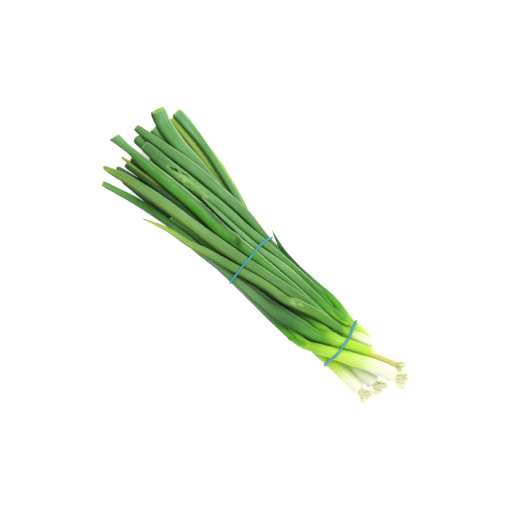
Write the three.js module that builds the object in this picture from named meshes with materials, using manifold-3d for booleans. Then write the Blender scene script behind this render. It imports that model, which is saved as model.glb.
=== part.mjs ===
// A bunch of spring onions lying down, held by two rubber bands.
// Millimetres, +Z up. The roots are at the low-x end, the leaf tips at the high-x end.
import * as THREE from "three";
import { mergeVertices } from "three/addons/utils/BufferGeometryUtils.js";
import Module from "manifold-3d";

const wasm = await Module();
wasm.setup();

// Driving dimensions, in millimetres
const BUNCH_CENTRE = new THREE.Vector3(150.15, -0.06, 0); // middle of the bunch's box, in the layout below
const KNOT_STEP = 10; // distance along x between two sections of a stalk
const LEAST_STEP = 3; // least distance between a section and the end of its stalk
const TEST_STEP = 5; // distance along x between two places where stalks are kept apart
const CLEARANCE = 0.35; // air between two stalks that lie on each other
const JOINT_GAP = 0.3; // between the shank, the leaves and the roots of one onion
const FLAT_DEPTH = 0.5; // how much of the lowest curves is pressed flat by the surface
const MOST_SLOPE = 0.35; // rise per millimetre of a stalk that climbs over another
const SAG = 0.6; // how far a stalk sags below the straight line between its neighbours
const NECK_LENGTH = 8; // of the neck that an onion's leaves grow out of
const NECK_REACH = 12; // past the neck, a leaf leaves the height order of its shank
const SHEATH = 50; // past the neck, the leaves of one onion grow out of each other
const LEAF_SIDES = 6;
const SHANK_SIDES = 12;
const SHANK_FLATNESS = 0.95; // thickness of a shank, as a share of its width
const SETTLE_ROUNDS = 160;

// A leaf is a hollow tube that lies a little flat, and a narrow one is rounder
const LEAF_THICKNESS_SHARE = 0.5;
const LEAF_THICKNESS_LEAST = 1.2;
const LEAF_THICKNESS_MOST = 5.6;

// Extra rings that close a rounded end: steps past the end, and shares of the width there
const BULB_END = [[0.2, 0.5], [0.12, 0.8]]; // steps in widths of the bulb
const ROUND_LEAF_END = [[1.5, 0.8], [2.4, 0.4]]; // steps in millimetres
const NECK_END = [[1.5, 0.7]]; // steps in millimetres

// Basal plate and root threads, as shares of the width of the tuft
const PLATE_SIDES = 8;
const PLATE_LENGTH = 0.2;
const PLATE_REACH = 0.18; // how far from the middle of the plate the threads start
const ROOT_BEND_SPREAD = 0.18; // how far the outermost threads spread half way
const ROOT_TIP_SPREAD = 0.45; // and at their tips
const ROOT_THICKNESS = 1.1; // millimetres
const GOLDEN_ANGLE = Math.PI * (3 - Math.sqrt(5));

// The underside of the bunch is round at the bands and flat at the tips
const CRADLE_RADIUS = 27;
const CRADLE_SIDE = 24; // how far out the round part goes
const CRADLE = [
  // x, share of the round underside, lift
  [0, 0, 0],
  [25, 0.1, 0],
  [56, 0.7, 2.2],
  [100, 0.4, 0.6],
  [157, 0.75, 2.2],
  [180, 0.3, 0.4],
  [200, 0, 0],
  [310, 0, 0],
];

// Rubber bands: width along the stalks, thickness, and where they run, as x at a place y across
const BAND_SIDES = 6;
const BAND_STEPS = 36;
const HULL_POINTS = 24; // round each stalk that a band lies on
const BANDS = [
  {
    name: "band_lower",
    width: 2.2,
    thickness: 1.4,
    route: [[-21, 61], [-14, 58.5], [-9, 56.5], [0, 55], [8, 54], [21, 54.5]],
  },
  {
    name: "band_upper",
    width: 2,
    thickness: 1.3,
    route: [[-23, 156], [-15, 158.3], [-8, 158.3], [0, 157.5], [10, 157], [18, 156], [27, 155]],
  },
];

// The onions. order says which shank lies higher. shank is a list of x, y, width as seen from above, from the
// root end to the end of the neck. Each leaf has its own order, its end, and the same list from the neck to the tip.
const ONIONS = [
  {
    name: "onion_1",
    order: 0.6,
    neck: 62,
    shank: [[20, 16.2, 11.2], [28, 16.2, 11.2], [45, 15.8, 10.5], [55, 16.2, 10], [70, 16.5, 9.5]],
    roots: { count: 9, length: 8.5, width: 12, turn: 0 },
    leaves: [
      { order: 1.2, end: "point", path: [[63, 16.7, 7], [80, 17, 6.2], [100, 17.5, 5.6], [130, 17.8, 5.4],
        [157, 17.6, 5.4], [200, 20.3, 6.6], [240, 23.7, 6.5], [272, 28, 3]] },
      { order: 1.1, end: "point", path: [[63, 16.3, 7], [80, 14, 6], [100, 11.4, 5.4], [130, 11.6, 5.4],
        [157, 11.4, 5.4], [200, 13.6, 6.5], [255, 18.5, 6.5], [283, 23, 4]] },
      { order: 1.0, end: "point", path: [[63, 16, 7], [80, 12, 5.8], [100, 6.2, 5.4], [130, 5.4, 5.4],
        [157, 5.2, 5.4], [200, 7, 6.3], [255, 10, 6], [286, 14.5, 2]] },
      { order: 2.0, end: "cut", path: [[63, 16, 7], [80, 12.5, 5.8], [100, 8.6, 5.4], [130, 6.4, 5.2],
        [157, 6.2, 5.2], [200, 1.5, 6.6], [250, 6, 7], [281, 9, 7]] },
    ],
  },
  {
    name: "onion_2",
    order: 0.5,
    neck: 60,
    shank: [[16, 5, 9.6], [30, 5.6, 9.2], [40, 5.2, 9], [52, 4.5, 9], [68, 1, 8.5]],
    roots: { count: 8, length: 6, width: 11, turn: 0.4 },
    leaves: [
      { order: 2.1, end: "cut", path: [[61, 2.7, 7], [80, 1.5, 5.8], [100, -3, 5.4], [130, -5.5, 5.2],
        [157, -6, 5.2], [180, -11.5, 6], [200, -18.5, 7.6], [240, -24, 9.5], [260, -25.3, 10.5], [280, -28.5, 12], [294, -31.5, 12]] },
      { order: 0.9, end: "cut", path: [[61, 2.5, 7], [80, 0.5, 5.8], [100, -4.4, 5.4], [130, -7, 5.4],
        [157, -7.2, 5.4], [180, -14.5, 5.8], [200, -22.5, 6.2], [240, -29, 6], [270, -34, 5], [280, -35.2, 4]] },
      { order: 1.9, end: "cut", path: [[61, 2.3, 7], [80, -1.2, 5.6], [100, -8, 5.2], [130, -11.6, 5],
        [157, -12, 5.2], [180, -19, 5.6], [200, -26.5, 6], [240, -35.5, 6], [270, -39.5, 6.5], [280, -40, 5.5]] },
      { order: 0.8, end: "point", path: [[61, 2.3, 7], [80, -2, 5.4], [100, -9.6, 5], [130, -12.6, 4.6],
        [157, -13.2, 4.8], [180, -21.3, 4.8], [200, -28.5, 4.8], [230, -36.5, 4.5], [255, -41, 1.5]] },
      { order: 0.85, end: "cut", path: [[61, 3, 7], [80, 3, 5.8], [100, 0.6, 5.4], [130, -0.8, 5.4],
        [157, -1, 5.4], [200, -9, 6.8], [250, -17, 7.5], [285, -19, 7]] },
      { order: 1.8, end: "round", path: [[61, 3, 7], [80, 4, 5.8], [100, 2.6, 5.4], [130, 0.4, 5.2],
        [157, 0.2, 5.2], [200, -6, 7], [250, -5.5, 8], [288, -4.5, 8]] },
    ],
  },
  {
    name: "onion_3",
    order: 4,
    neck: 66,
    shank: [[8, -11, 13.5], [15, -9.3, 14], [30, -3.5, 12.3], [40, 1.5, 12], [50, 6.5, 11.2], [60, 11.4, 10],
      [66, 14.7, 9.6], [74, 18.6, 7.6]],
    roots: { count: 11, length: 5.5, width: 14, turn: 0.8 },
    leaves: [
      { order: 2.3, end: "cut", path: [[67, 15.8, 8], [80, 22, 6.6], [100, 23.8, 5.6], [130, 23.4, 5.4], [157, 23, 5.2],
        [200, 23.8, 6.5], [220, 25.8, 6.5], [250, 31, 6.5], [284, 40.3, 5]] },
      { order: 2.4, end: "cut", path: [[67, 15.2, 8.4], [75, 19, 7], [82, 20.2, 6], [100, 18.2, 5.6], [130, 17.7, 5.4],
        [157, 17.6, 5.4], [200, 18, 6], [225, 21.5, 6]] },
    ],
  },
  {
    name: "onion_4",
    order: 3,
    neck: 62,
    shank: [[12, -20, 9], [25, -15, 9], [35, -11, 9], [45, -6.7, 9], [55, -1.9, 9], [60, 0.8, 9.2],
      [65, 2.7, 11.2], [70, 4.4, 13.2]],
    roots: { count: 7, length: 3.5, width: 9, turn: 1.2 },
    leaves: [
      { order: 4, end: "point", path: [[63, 4.2, 8], [75, 9.3, 9.5], [82, 10.8, 10.6], [90, 12.6, 12], [110, 17.3, 13],
        [120, 19.3, 13], [140, 20.8, 11], [157, 22.2, 8.6], [190, 24.8, 7], [212, 28, 3]] },
      { order: 2.6, end: "cut", path: [[63, 1.2, 7.5], [75, 1.8, 7], [90, 4.2, 6], [105, 7.2, 5.6], [120, 10, 5.8],
        [140, 12, 5.6], [157, 12.1, 5.6], [180, 10, 6.2], [215, 9.3, 7], [250, 12, 7], [281, 16, 6]] },
    ],
  },
  {
    name: "onion_5",
    order: 2,
    neck: 61,
    shank: [[41, -15.6, 5.8], [50, -13, 6.4], [61, -9.3, 6.8], [69, -7.3, 7]],
    roots: { count: 5, length: 2.5, width: 6, turn: 1.6 },
    leaves: [
      { order: 5, end: "point", path: [[62, -7.8, 6], [80, -5, 7.6], [90, -2.8, 8.5], [107, 2.8, 8.8], [115, 6, 7],
        [130, 7.9, 6.8], [150, 12.7, 7.5], [165, 17, 7.2], [185, 22.2, 6.6], [200, 26.8, 5.5], [220, 30.7, 4],
        [240, 38, 1.2]] },
      { order: 4.5, end: "point", path: [[62, -8.2, 6], [80, -6, 6.4], [100, -4.4, 7], [115, -1.7, 8.4], [130, 1, 8.2],
        [150, 4.8, 8.5], [180, 10.5, 10], [210, 14.5, 9], [240, 18.4, 9.5], [270, 24, 7.5], [291, 30, 2]] },
      { order: 4.3, end: "flare", path: [[62, -8.6, 6], [80, -7, 5], [100, -6.8, 5], [120, -6, 5.4],
        [140, -3.6, 7.6], [160, -2.2, 8.4], [174, -0.6, 9.4], [190, 1.3, 11], [215, 1.5, 11.3], [250, 3.8, 10],
        [270, 5.6, 9], [282, 5.7, 6.8], [290, 6.2, 6.4], [303, 7, 9]] },
    ],
  },
  {
    name: "onion_6",
    order: 1,
    neck: 63,
    shank: [[44, -20.4, 2.6], [50, -19.8, 4], [56, -18.4, 5.6], [63, -17.2, 7.4], [71, -16.3, 8.6]],
    roots: { count: 4, length: 2, width: 3.2, turn: 2 },
    leaves: [
      { order: 3.8, end: "point", path: [[64, -15.6, 6.2], [80, -12.6, 6.4], [100, -12.2, 7.4], [130, -11.8, 7],
        [157, -8.7, 5], [175, -7.8, 3.5], [215, -6.7, 3], [235, -6.3, 1.2]] },
      { order: 3.6, end: "cut", path: [[64, -17, 6.5], [80, -17, 5.8], [100, -17.4, 5.6], [120, -17, 5.8],
        [150, -15.3, 6.6], [175, -13, 7.6], [200, -12, 8], [240, -7.5, 9], [260, -5.3, 8.7], [281, -4.5, 7.5]] },
      { order: 3.4, end: "cut", path: [[64, -18, 6], [85, -21, 5.8], [105, -20.4, 5], [130, -19.3, 5],
        [157, -18.8, 6], [180, -21, 8], [200, -20.5, 9], [240, -18, 10], [270, -13.9, 8.8], [296, -10.5, 6]] },
      { order: 3.2, end: "point", side: true, path: [[112, -20, 2.6], [130, -20.8, 3], [140, -21.4, 3],
        [150, -23.4, 2.8], [159, -26.5, 0.8]] },
    ],
  },
];

const SHANK_COLOUR = 0xe9f0c8;
const LEAF_COLOUR = 0x4f9440;
const ROOT_COLOUR = 0xe6dfb8;
const BAND_COLOUR = 0x4fb3c8;

// Value of column k of rows at x, on a smooth curve through the rows
function smoothAt(rows, x, k) {
  const last = rows.length - 1;
  if (x <= rows[0][0]) return rows[0][k];
  if (x >= rows[last][0]) return rows[last][k];
  let i = 0;
  while (x > rows[i + 1][0]) i++;
  const slope = (j) => {
    const a = rows[Math.max(j - 1, 0)];
    const b = rows[Math.min(j + 1, last)];
    return (b[k] - a[k]) / (b[0] - a[0]);
  };
  const span = rows[i + 1][0] - rows[i][0];
  const s = (x - rows[i][0]) / span;
  const bend = s * s * (3 - 2 * s);
  return (
    rows[i][k] * (1 - bend) +
    rows[i + 1][k] * bend +
    span * s * (1 - s) * ((1 - s) * slope(i) - s * slope(i + 1))
  );
}

// Straight-line value of one field of the knots at x
function between(knots, x, field) {
  let i = 0;
  while (i < knots.length - 2 && x > knots[i + 1].x) i++;
  const s = (x - knots[i].x) / (knots[i + 1].x - knots[i].x);
  return knots[i][field] * (1 - s) + knots[i + 1][field] * s;
}

// Height of the surface under a stalk: flat, but rising to the sides where a band rounds the bunch
function cradle(x, y) {
  const share = smoothAt(CRADLE, x, 1);
  const lift = smoothAt(CRADLE, x, 2);
  const side = Math.min(Math.abs(y), CRADLE_SIDE);
  return lift + share * (CRADLE_RADIUS - Math.sqrt(CRADLE_RADIUS ** 2 - side ** 2));
}

function leafThickness(width) {
  return Math.min(LEAF_THICKNESS_SHARE * width + LEAF_THICKNESS_LEAST, LEAF_THICKNESS_MOST);
}

// Knots of a stalk along its path, with the heights still on the surface
function knotsOf(path, thicknessOf) {
  const first = path[0][0];
  const last = path[path.length - 1][0];
  const xs = [first];
  for (let x = Math.ceil(first / KNOT_STEP) * KNOT_STEP; x < last; x += KNOT_STEP)
    if (x - first > LEAST_STEP && last - x > LEAST_STEP) xs.push(x);
  xs.push(last);
  return xs.map((x) => {
    const y = smoothAt(path, x, 1);
    const w = smoothAt(path, x, 2);
    const t = thicknessOf(w);
    return { x, y, w, t, z: cradle(x, y) + t / 2 };
  });
}

// All stalks of the bunch: the shanks and the leaves
function layOut() {
  const stalks = [];
  ONIONS.forEach((onion, index) => {
    let stem; // the leaf before, which a side leaf grows out of
    const shank = {
      onion: index,
      knots: knotsOf(onion.shank, (width) => width * SHANK_FLATNESS),
      orderAt: () => onion.order,
    };
    stalks.push(shank);
    for (const leaf of onion.leaves) {
      const stalk = {
        onion: index,
        root: leaf.side ? stem : shank,
        side: leaf.side,
        end: leaf.end,
        knots: knotsOf(leaf.path, leafThickness),
        orderAt: (x) => (x < onion.neck + NECK_REACH ? onion.order : leaf.order),
      };
      stalks.push(stalk);
      stem = stalk;
    }
  });
  return stalks;
}

// Raises the knots on both sides of x just enough to lift the stalk by rise there
function raise(stalk, x, rise) {
  const knots = stalk.knots;
  let i = 0;
  while (i < knots.length - 2 && x > knots[i + 1].x) i++;
  const s = (x - knots[i].x) / (knots[i + 1].x - knots[i].x);
  const scale = rise / ((1 - s) ** 2 + s ** 2);
  knots[i].z += scale * (1 - s);
  knots[i + 1].z += scale * s;
}

// How far the upper stalk has to rise at x to lie clear on the lower one
function crossing(lower, upper, x) {
  const across = Math.abs(between(lower.knots, x, "y") - between(upper.knots, x, "y"));
  const reach = (between(lower.knots, x, "w") + between(upper.knots, x, "w")) / 2 + CLEARANCE;
  if (across >= reach) return 0;
  const touch = (between(lower.knots, x, "t") + between(upper.knots, x, "t")) / 2 + CLEARANCE;
  const apart = between(upper.knots, x, "z") - between(lower.knots, x, "z");
  return touch * Math.sqrt(1 - (across / reach) ** 2) - apart;
}

// Stalks of one onion may run into each other at their neck
function joined(a, b, x) {
  return a.onion === b.onion && (a.side || b.side || x < ONIONS[a.onion].neck + SHEATH);
}

function reaches(stalk, x) {
  return stalk.knots[0].x <= x && x <= stalk.knots[stalk.knots.length - 1].x;
}

// Lets each stalk rise until it crosses none below it, bends gently and starts in its neck
function settle(stalks) {
  const end = Math.max(...stalks.map((s) => s.knots[s.knots.length - 1].x));
  for (let round = 0; round < SETTLE_ROUNDS; round++) {
    for (let x = 0; x <= end; x += TEST_STEP) {
      const here = stalks.filter((s) => reaches(s, x));
      here.sort((a, b) => a.orderAt(x) - b.orderAt(x));
      here.forEach((upper, i) =>
        here.slice(0, i).forEach((lower) => {
          if (joined(lower, upper, x)) return;
          const rise = crossing(lower, upper, x);
          if (rise > 0) raise(upper, x, rise);
        }),
      );
    }
    for (const { knots, root } of stalks) {
      for (let i = 1; i < knots.length; i++) {
        const drop = MOST_SLOPE * (knots[i].x - knots[i - 1].x);
        knots[i].z = Math.max(knots[i].z, knots[i - 1].z - drop);
        knots[i - 1].z = Math.max(knots[i - 1].z, knots[i].z - drop);
      }
      for (let i = 1; i < knots.length - 1; i++)
        knots[i].z = Math.max(knots[i].z, (knots[i - 1].z + knots[i + 1].z) / 2 - SAG);
      if (!root) continue;
      const short = between(root.knots, knots[0].x, "z") - knots[0].z;
      if (short > 0) knots[0].z += short;
      else raise(root, knots[0].x, -short);
    }
  }
}

// A closed mesh from rings of points, each ring with as many points as the next
function skin(rings) {
  const sides = rings[0].length;
  const index = [];
  rings.slice(1).forEach((_, r) => {
    for (let k = 0; k < sides; k++) {
      const a = r * sides + k;
      const b = r * sides + ((k + 1) % sides);
      index.push(a, b, b + sides, a, b + sides, a + sides);
    }
  });
  const top = (rings.length - 1) * sides;
  for (let k = 1; k < sides - 1; k++) {
    index.push(0, k + 1, k);
    index.push(top, top + k, top + k + 1);
  }
  const geometry = new THREE.BufferGeometry();
  const points = rings.flat().flatMap((p) => [p.x, p.y, p.z]);
  geometry.setAttribute("position", new THREE.Float32BufferAttribute(points, 3));
  geometry.setIndex(index);
  return geometry;
}

// Ring of a stalk at x, square to its path as seen from above, shrunk by scale
function ringAt(knots, x, sides, scale = 1) {
  const ahead = between(knots, x + 1, "y");
  const behind = between(knots, x - 1, "y");
  const angle = Math.atan2(ahead - behind, 2);
  const centre = new THREE.Vector3(x, between(knots, x, "y"), between(knots, x, "z"));
  const half = (between(knots, x, "w") / 2) * Math.cos(angle) * scale;
  const rise = (between(knots, x, "t") / 2) * scale;
  return Array.from({ length: sides }, (_, k) => {
    const turn = (2 * Math.PI * k) / sides;
    const side = half * Math.cos(turn);
    return centre
      .clone()
      .add(new THREE.Vector3(-side * Math.sin(angle), side * Math.cos(angle), rise * Math.sin(turn)));
  });
}

// A stretch of a stalk. ends lists extra rings past the last knot as steps along x and scales.
function stalkSkin(knots, sides, from, to, ends = []) {
  const xs = [from, ...knots.map((k) => k.x).filter((x) => x > from + 1 && x < to - 1), to];
  const rings = xs.map((x) => ringAt(knots, x, sides));
  for (const [step, scale] of ends) {
    const ring = ringAt(knots, to, sides, scale).map((p) => p.add(new THREE.Vector3(step, 0, 0)));
    rings.push(ring);
  }
  return skin(rings);
}

// The geometry as a solid that can be joined or cut
function solid(geometry) {
  const bare = geometry.clone();
  bare.deleteAttribute("normal");
  bare.deleteAttribute("uv");
  const merged = mergeVertices(bare, 1e-4);
  return new wasm.Manifold(
    new wasm.Mesh({
      numProp: 3,
      vertProperties: merged.attributes.position.array,
      triVerts: new Uint32Array(merged.index.array),
    }),
  );
}

function geometryOf(made) {
  const { numProp, vertProperties, triVerts } = made.getMesh();
  const points = [];
  for (let i = 0; i < vertProperties.length; i += numProp) points.push(...vertProperties.slice(i, i + 3));
  const geometry = new THREE.BufferGeometry();
  geometry.setAttribute("position", new THREE.Float32BufferAttribute(points, 3));
  geometry.setIndex([...triVerts]);
  geometry.computeVertexNormals();
  return geometry;
}

// Presses flat what lies under the surface at z = 0
function pressedFlat(made) {
  return made.trimByPlane([0, 0, 1], 0);
}

// White shank: from a rounded bulb end to the flat joint with its leaves
function shankSolid(onion, knots) {
  const start = knots[0].x;
  const rings = BULB_END.map(([step, scale]) =>
    ringAt(knots, start, SHANK_SIDES, scale).map((p) => p.add(new THREE.Vector3(-step * knots[0].w, 0, 0))),
  );
  const xs = [start, ...knots.map((k) => k.x).filter((x) => x > start + 1 && x < onion.neck - 1), onion.neck];
  rings.push(...xs.map((x) => ringAt(knots, x, SHANK_SIDES)));
  return solid(skin(rings));
}

// Neck and leaves of one onion, grown together
function leavesSolid(onion, knots, leaves) {
  let made = solid(stalkSkin(knots, SHANK_SIDES, onion.neck, onion.neck + NECK_LENGTH, NECK_END));
  for (const leaf of leaves) {
    const first = leaf.knots[0].x;
    const last = leaf.knots[leaf.knots.length - 1].x;
    const ends = leaf.end === "round" ? ROUND_LEAF_END : [];
    made = made.add(solid(stalkSkin(leaf.knots, LEAF_SIDES, first, last, ends)));
  }
  const neck = new THREE.Vector3(onion.neck, between(knots, onion.neck, "y"), 0);
  const along = new THREE.Vector3(2, between(knots, onion.neck + 1, "y") - between(knots, onion.neck - 1, "y"), 0);
  along.normalize();
  return made.trimByPlane(along.toArray(), neck.dot(along) + JOINT_GAP);
}

// Basal plate with its trimmed root threads, spread by the golden angle
function rootsSolid(onion, knots) {
  const { count, length, width, turn } = onion.roots;
  const start = knots[0].x;
  const angle = Math.atan2(between(knots, start + 1, "y") - between(knots, start, "y"), 1);
  const outward = new THREE.Vector3(-Math.cos(angle), -Math.sin(angle), 0);
  const across = new THREE.Vector3(Math.sin(angle), -Math.cos(angle), 0);
  const up = new THREE.Vector3(0, 0, 1);
  const gap = new THREE.Vector3(-BULB_END[0][0] * knots[0].w - JOINT_GAP, 0, 0);
  const heel = new THREE.Vector3(start, knots[0].y, knots[0].z).add(gap);
  const plateLength = PLATE_LENGTH * width;
  const plateRing = (along, share) =>
    ringAt(knots, start, PLATE_SIDES, BULB_END[0][1] * share).map((p) =>
      p.add(gap).addScaledVector(outward, along),
    );
  let made = solid(skin([plateRing(plateLength, 0.7), plateRing(0, 0.95)]));
  for (let i = 0; i < count; i++) {
    const around = GOLDEN_ANGLE * i + turn;
    const out = Math.sqrt((i + 0.5) / count);
    const radial = across.clone().multiplyScalar(Math.cos(around)).addScaledVector(up, Math.sin(around));
    const reach = length * (0.75 + 0.25 * Math.cos(5 * i + turn));
    const place = (along, spread) =>
      heel.clone().addScaledVector(outward, along).addScaledVector(radial, spread * width * out);
    const thread = [
      threadRing(place(0, PLATE_REACH), across, up, ROOT_THICKNESS),
      threadRing(place(plateLength + 0.45 * reach, PLATE_REACH + ROOT_BEND_SPREAD), across, up, 0.8 * ROOT_THICKNESS),
      threadRing(place(plateLength + reach * (1 - 0.3 * out), ROOT_TIP_SPREAD), across, up, 0.6 * ROOT_THICKNESS),
    ];
    made = made.add(solid(skin(thread)));
  }
  return made;
}

// Three-sided section of a root thread, kept above the surface
function threadRing(place, across, up, thickness) {
  const low = FLAT_DEPTH + thickness / 2;
  const centre = new THREE.Vector3(place.x, place.y, Math.max(place.z, low));
  return [0, 1, 2].map((k) => {
    const turn = (2 * Math.PI * k) / 3 + Math.PI / 2;
    return centre
      .clone()
      .addScaledVector(across, (thickness / 2) * Math.cos(turn))
      .addScaledVector(up, (thickness / 2) * Math.sin(turn));
  });
}

// Convex outline of points in the plane across the bunch, going round from +y to +z
function hull(points) {
  const sorted = [...points].sort((a, b) => a.x - b.x || a.y - b.y);
  const turn = (o, a, b) => (a.x - o.x) * (b.y - o.y) - (a.y - o.y) * (b.x - o.x);
  const half = (list) => {
    const chain = [];
    for (const p of list) {
      while (chain.length > 1 && turn(chain[chain.length - 2], chain[chain.length - 1], p) <= 0) chain.pop();
      chain.push(p);
    }
    return chain.slice(0, -1);
  };
  return [...half(sorted), ...half(sorted.reverse())];
}

// Closed line that the middle of a taut band follows round the stalks
function bandLine(band, stalks) {
  const out = CLEARANCE + band.thickness / 2;
  const points = [];
  for (const { knots, side } of stalks) {
    const x = smoothAt(band.route, between(knots, band.route[0][1], "y"), 1);
    const lies = knots[0].x <= x && x <= knots[knots.length - 1].x;
    if (!lies || side) continue;
    const half = between(knots, x, "w") / 2 + out;
    const rise = between(knots, x, "t") / 2 + out;
    for (let k = 0; k < HULL_POINTS; k++) {
      const turn = (2 * Math.PI * k) / HULL_POINTS;
      points.push(
        new THREE.Vector2(
          between(knots, x, "y") + half * Math.cos(turn),
          between(knots, x, "z") + rise * Math.sin(turn),
        ),
      );
    }
  }
  const outline = new THREE.Path(hull(points));
  outline.closePath();
  return outline.getSpacedPoints(BAND_STEPS).slice(0, -1);
}

// A rubber band, a flat strip with rounded edges stretched round the stalks
function bandSolid(band, stalks) {
  const line = bandLine(band, stalks);
  const rings = line.map((p, i) => {
    const next = line[(i + 1) % line.length];
    const last = line[(i + line.length - 1) % line.length];
    const place = (q) => new THREE.Vector3(smoothAt(band.route, q.x, 1), q.x, q.y);
    const along = place(next).sub(place(last)).normalize();
    const outward = new THREE.Vector3(0, next.y - last.y, last.x - next.x).normalize();
    const broad = new THREE.Vector3().crossVectors(along, outward).normalize();
    return Array.from({ length: BAND_SIDES }, (_, k) => {
      const turn = (2 * Math.PI * (k + 0.5)) / BAND_SIDES;
      return place(p)
        .addScaledVector(broad, (band.width / 2) * Math.cos(turn))
        .addScaledVector(outward, (band.thickness / 2) * Math.sin(turn));
    });
  });
  const index = [];
  rings.forEach((_, r) => {
    const next = (r + 1) % rings.length;
    for (let k = 0; k < BAND_SIDES; k++) {
      const beside = (k + 1) % BAND_SIDES;
      const [a, b] = [r * BAND_SIDES + k, r * BAND_SIDES + beside];
      const [c, d] = [next * BAND_SIDES + k, next * BAND_SIDES + beside];
      index.push(a, d, b, a, c, d);
    }
  });
  const geometry = new THREE.BufferGeometry();
  const points = rings.flat().flatMap((p) => [p.x, p.y, p.z]);
  geometry.setAttribute("position", new THREE.Float32BufferAttribute(points, 3));
  geometry.setIndex(index);
  return solid(geometry);
}

function material(color, roughness) {
  return new THREE.MeshStandardMaterial({ color, roughness, metalness: 0 });
}

const materials = {
  shank: material(SHANK_COLOUR, 0.45),
  leaves: material(LEAF_COLOUR, 0.5),
  roots: material(ROOT_COLOUR, 0.8),
  band: material(BAND_COLOUR, 0.5),
};

// Adds a solid to the group as a named mesh, lowered so that its lowest curves are pressed flat
function addPiece(group, name, made, look) {
  const mesh = new THREE.Mesh(geometryOf(pressedFlat(made.translate([0, 0, -FLAT_DEPTH]))), look);
  mesh.name = name;
  group.add(mesh);
}

const stalks = layOut();
settle(stalks);

const bunch = new THREE.Group();
bunch.name = "spring_onion_bunch";
ONIONS.forEach((onion, index) => {
  const plant = new THREE.Group();
  const [shank, ...leaves] = stalks.filter((s) => s.onion === index);
  addPiece(plant, onion.name + "_shank", shankSolid(onion, shank.knots), materials.shank);
  addPiece(plant, onion.name + "_leaves", leavesSolid(onion, shank.knots, leaves), materials.leaves);
  addPiece(plant, onion.name + "_roots", rootsSolid(onion, shank.knots), materials.roots);
  bunch.add(plant);
});
for (const band of BANDS) addPiece(bunch, band.name, bandSolid(band, stalks), materials.band);
bunch.position.copy(BUNCH_CENTRE).negate();

export default bunch;
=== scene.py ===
"""A bunch of spring onions lying on a pale table, seen from straight above, held by two rubber bands."""

import logging
import math
from collections.abc import Callable
from dataclasses import dataclass, field
from enum import Enum
from typing import ClassVar

import bpy
import numpy as np
from mathutils import Matrix, Vector


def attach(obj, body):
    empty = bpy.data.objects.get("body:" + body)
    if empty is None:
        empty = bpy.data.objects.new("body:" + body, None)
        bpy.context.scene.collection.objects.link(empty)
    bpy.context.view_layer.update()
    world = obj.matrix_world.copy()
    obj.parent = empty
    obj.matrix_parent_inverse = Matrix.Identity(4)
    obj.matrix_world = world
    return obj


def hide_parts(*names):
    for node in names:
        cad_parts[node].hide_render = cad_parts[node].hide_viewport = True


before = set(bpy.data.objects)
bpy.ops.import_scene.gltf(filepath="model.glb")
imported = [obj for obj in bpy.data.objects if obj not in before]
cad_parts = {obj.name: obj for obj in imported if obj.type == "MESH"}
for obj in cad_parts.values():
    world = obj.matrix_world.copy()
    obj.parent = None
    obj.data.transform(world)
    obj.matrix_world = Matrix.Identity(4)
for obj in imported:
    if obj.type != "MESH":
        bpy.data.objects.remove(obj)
LOG = logging.getLogger("spring_onions")

# Layout in millimetres: x runs from the roots to the leaf tips, y across the bunch, z up
BUNCH_CENTRE = (150.15, -0.06)  # middle of the bunch in the layout, which is the origin of the part
FLAT_DEPTH = 0.5  # how much of the lowest curves is pressed flat by the table
KNOT_STEP = 10.0  # distance along x between two sections of a stalk
LEAST_STEP = 3.0  # a knot nearer than this to an end is left out
TEST_STEP = 5.0  # distance along x between two places where stalks are kept apart
CLEARANCE = 0.35  # air between two stalks that lie on each other
MOST_SLOPE = 0.35  # rise of a stalk over its run
SAG = 0.6  # how far a knot may lie below the middle of its neighbours
NECK_REACH = 12.0  # so far past the neck, a leaf keeps its shank's height order
SHEATH = 50.0  # so far past the neck, the leaves of one onion grow out of each other
SETTLE_ROUNDS = 160
SHANK_FLATNESS = 0.95  # thickness of a shank over its width
LEAF_THICKNESS_SHARE = 0.5  # of a leaf's width, on top of the least thickness
LEAF_THICKNESS_LEAST = 1.2
LEAF_THICKNESS_MOST = 5.6
CRADLE_RADIUS = 27.0  # of the bunch's underside where a band rounds it
CRADLE_SIDE = 24.0  # further across, the underside rises no more
CRADLE = [
    # x, share of the round underside, lift
    (0, 0, 0),
    (25, 0.1, 0),
    (56, 0.7, 2.2),
    (100, 0.4, 0.6),
    (157, 0.75, 2.2),
    (180, 0.3, 0.4),
    (200, 0, 0),
    (310, 0, 0),
]

# Fineness of the meshes
RING_STEP = 1.2  # millimetres between two rings of a stalk
LEAF_SIDES = 36  # points in a ring
SHANK_SIDES = 40
PLATE_SIDES = 28
BAND_SIDES = 14
BAND_STEPS = 220  # rings round a band
HULL_STEPS = 48  # points round a stalk that a band is stretched over
THREAD_STEPS = 14
THREAD_SIDES = 5

WALL = 0.75  # of a leaf at its cut end, millimetres
LEAST_HALF = 0.02  # half size of a ring that closes a tip, millimetres
SHAPING = ["centre", "turn", "across", "rise", "half_width", "half_thickness", "free", "thread", "spoke",
           "reach"]  # what only shapes a piece
GOLDEN_ANGLE = math.pi * (3 - math.sqrt(5))

Rows = list[tuple[float, ...]]
Socket = bpy.types.NodeSocket
Piece = bpy.types.Object


class End(Enum):
    """How a leaf ends."""

    POINT = "pointed tip"
    ROUND = "rounded closed tip"
    CUT = "cut open tube"
    FLARE = "cut open tube that widens"


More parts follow.
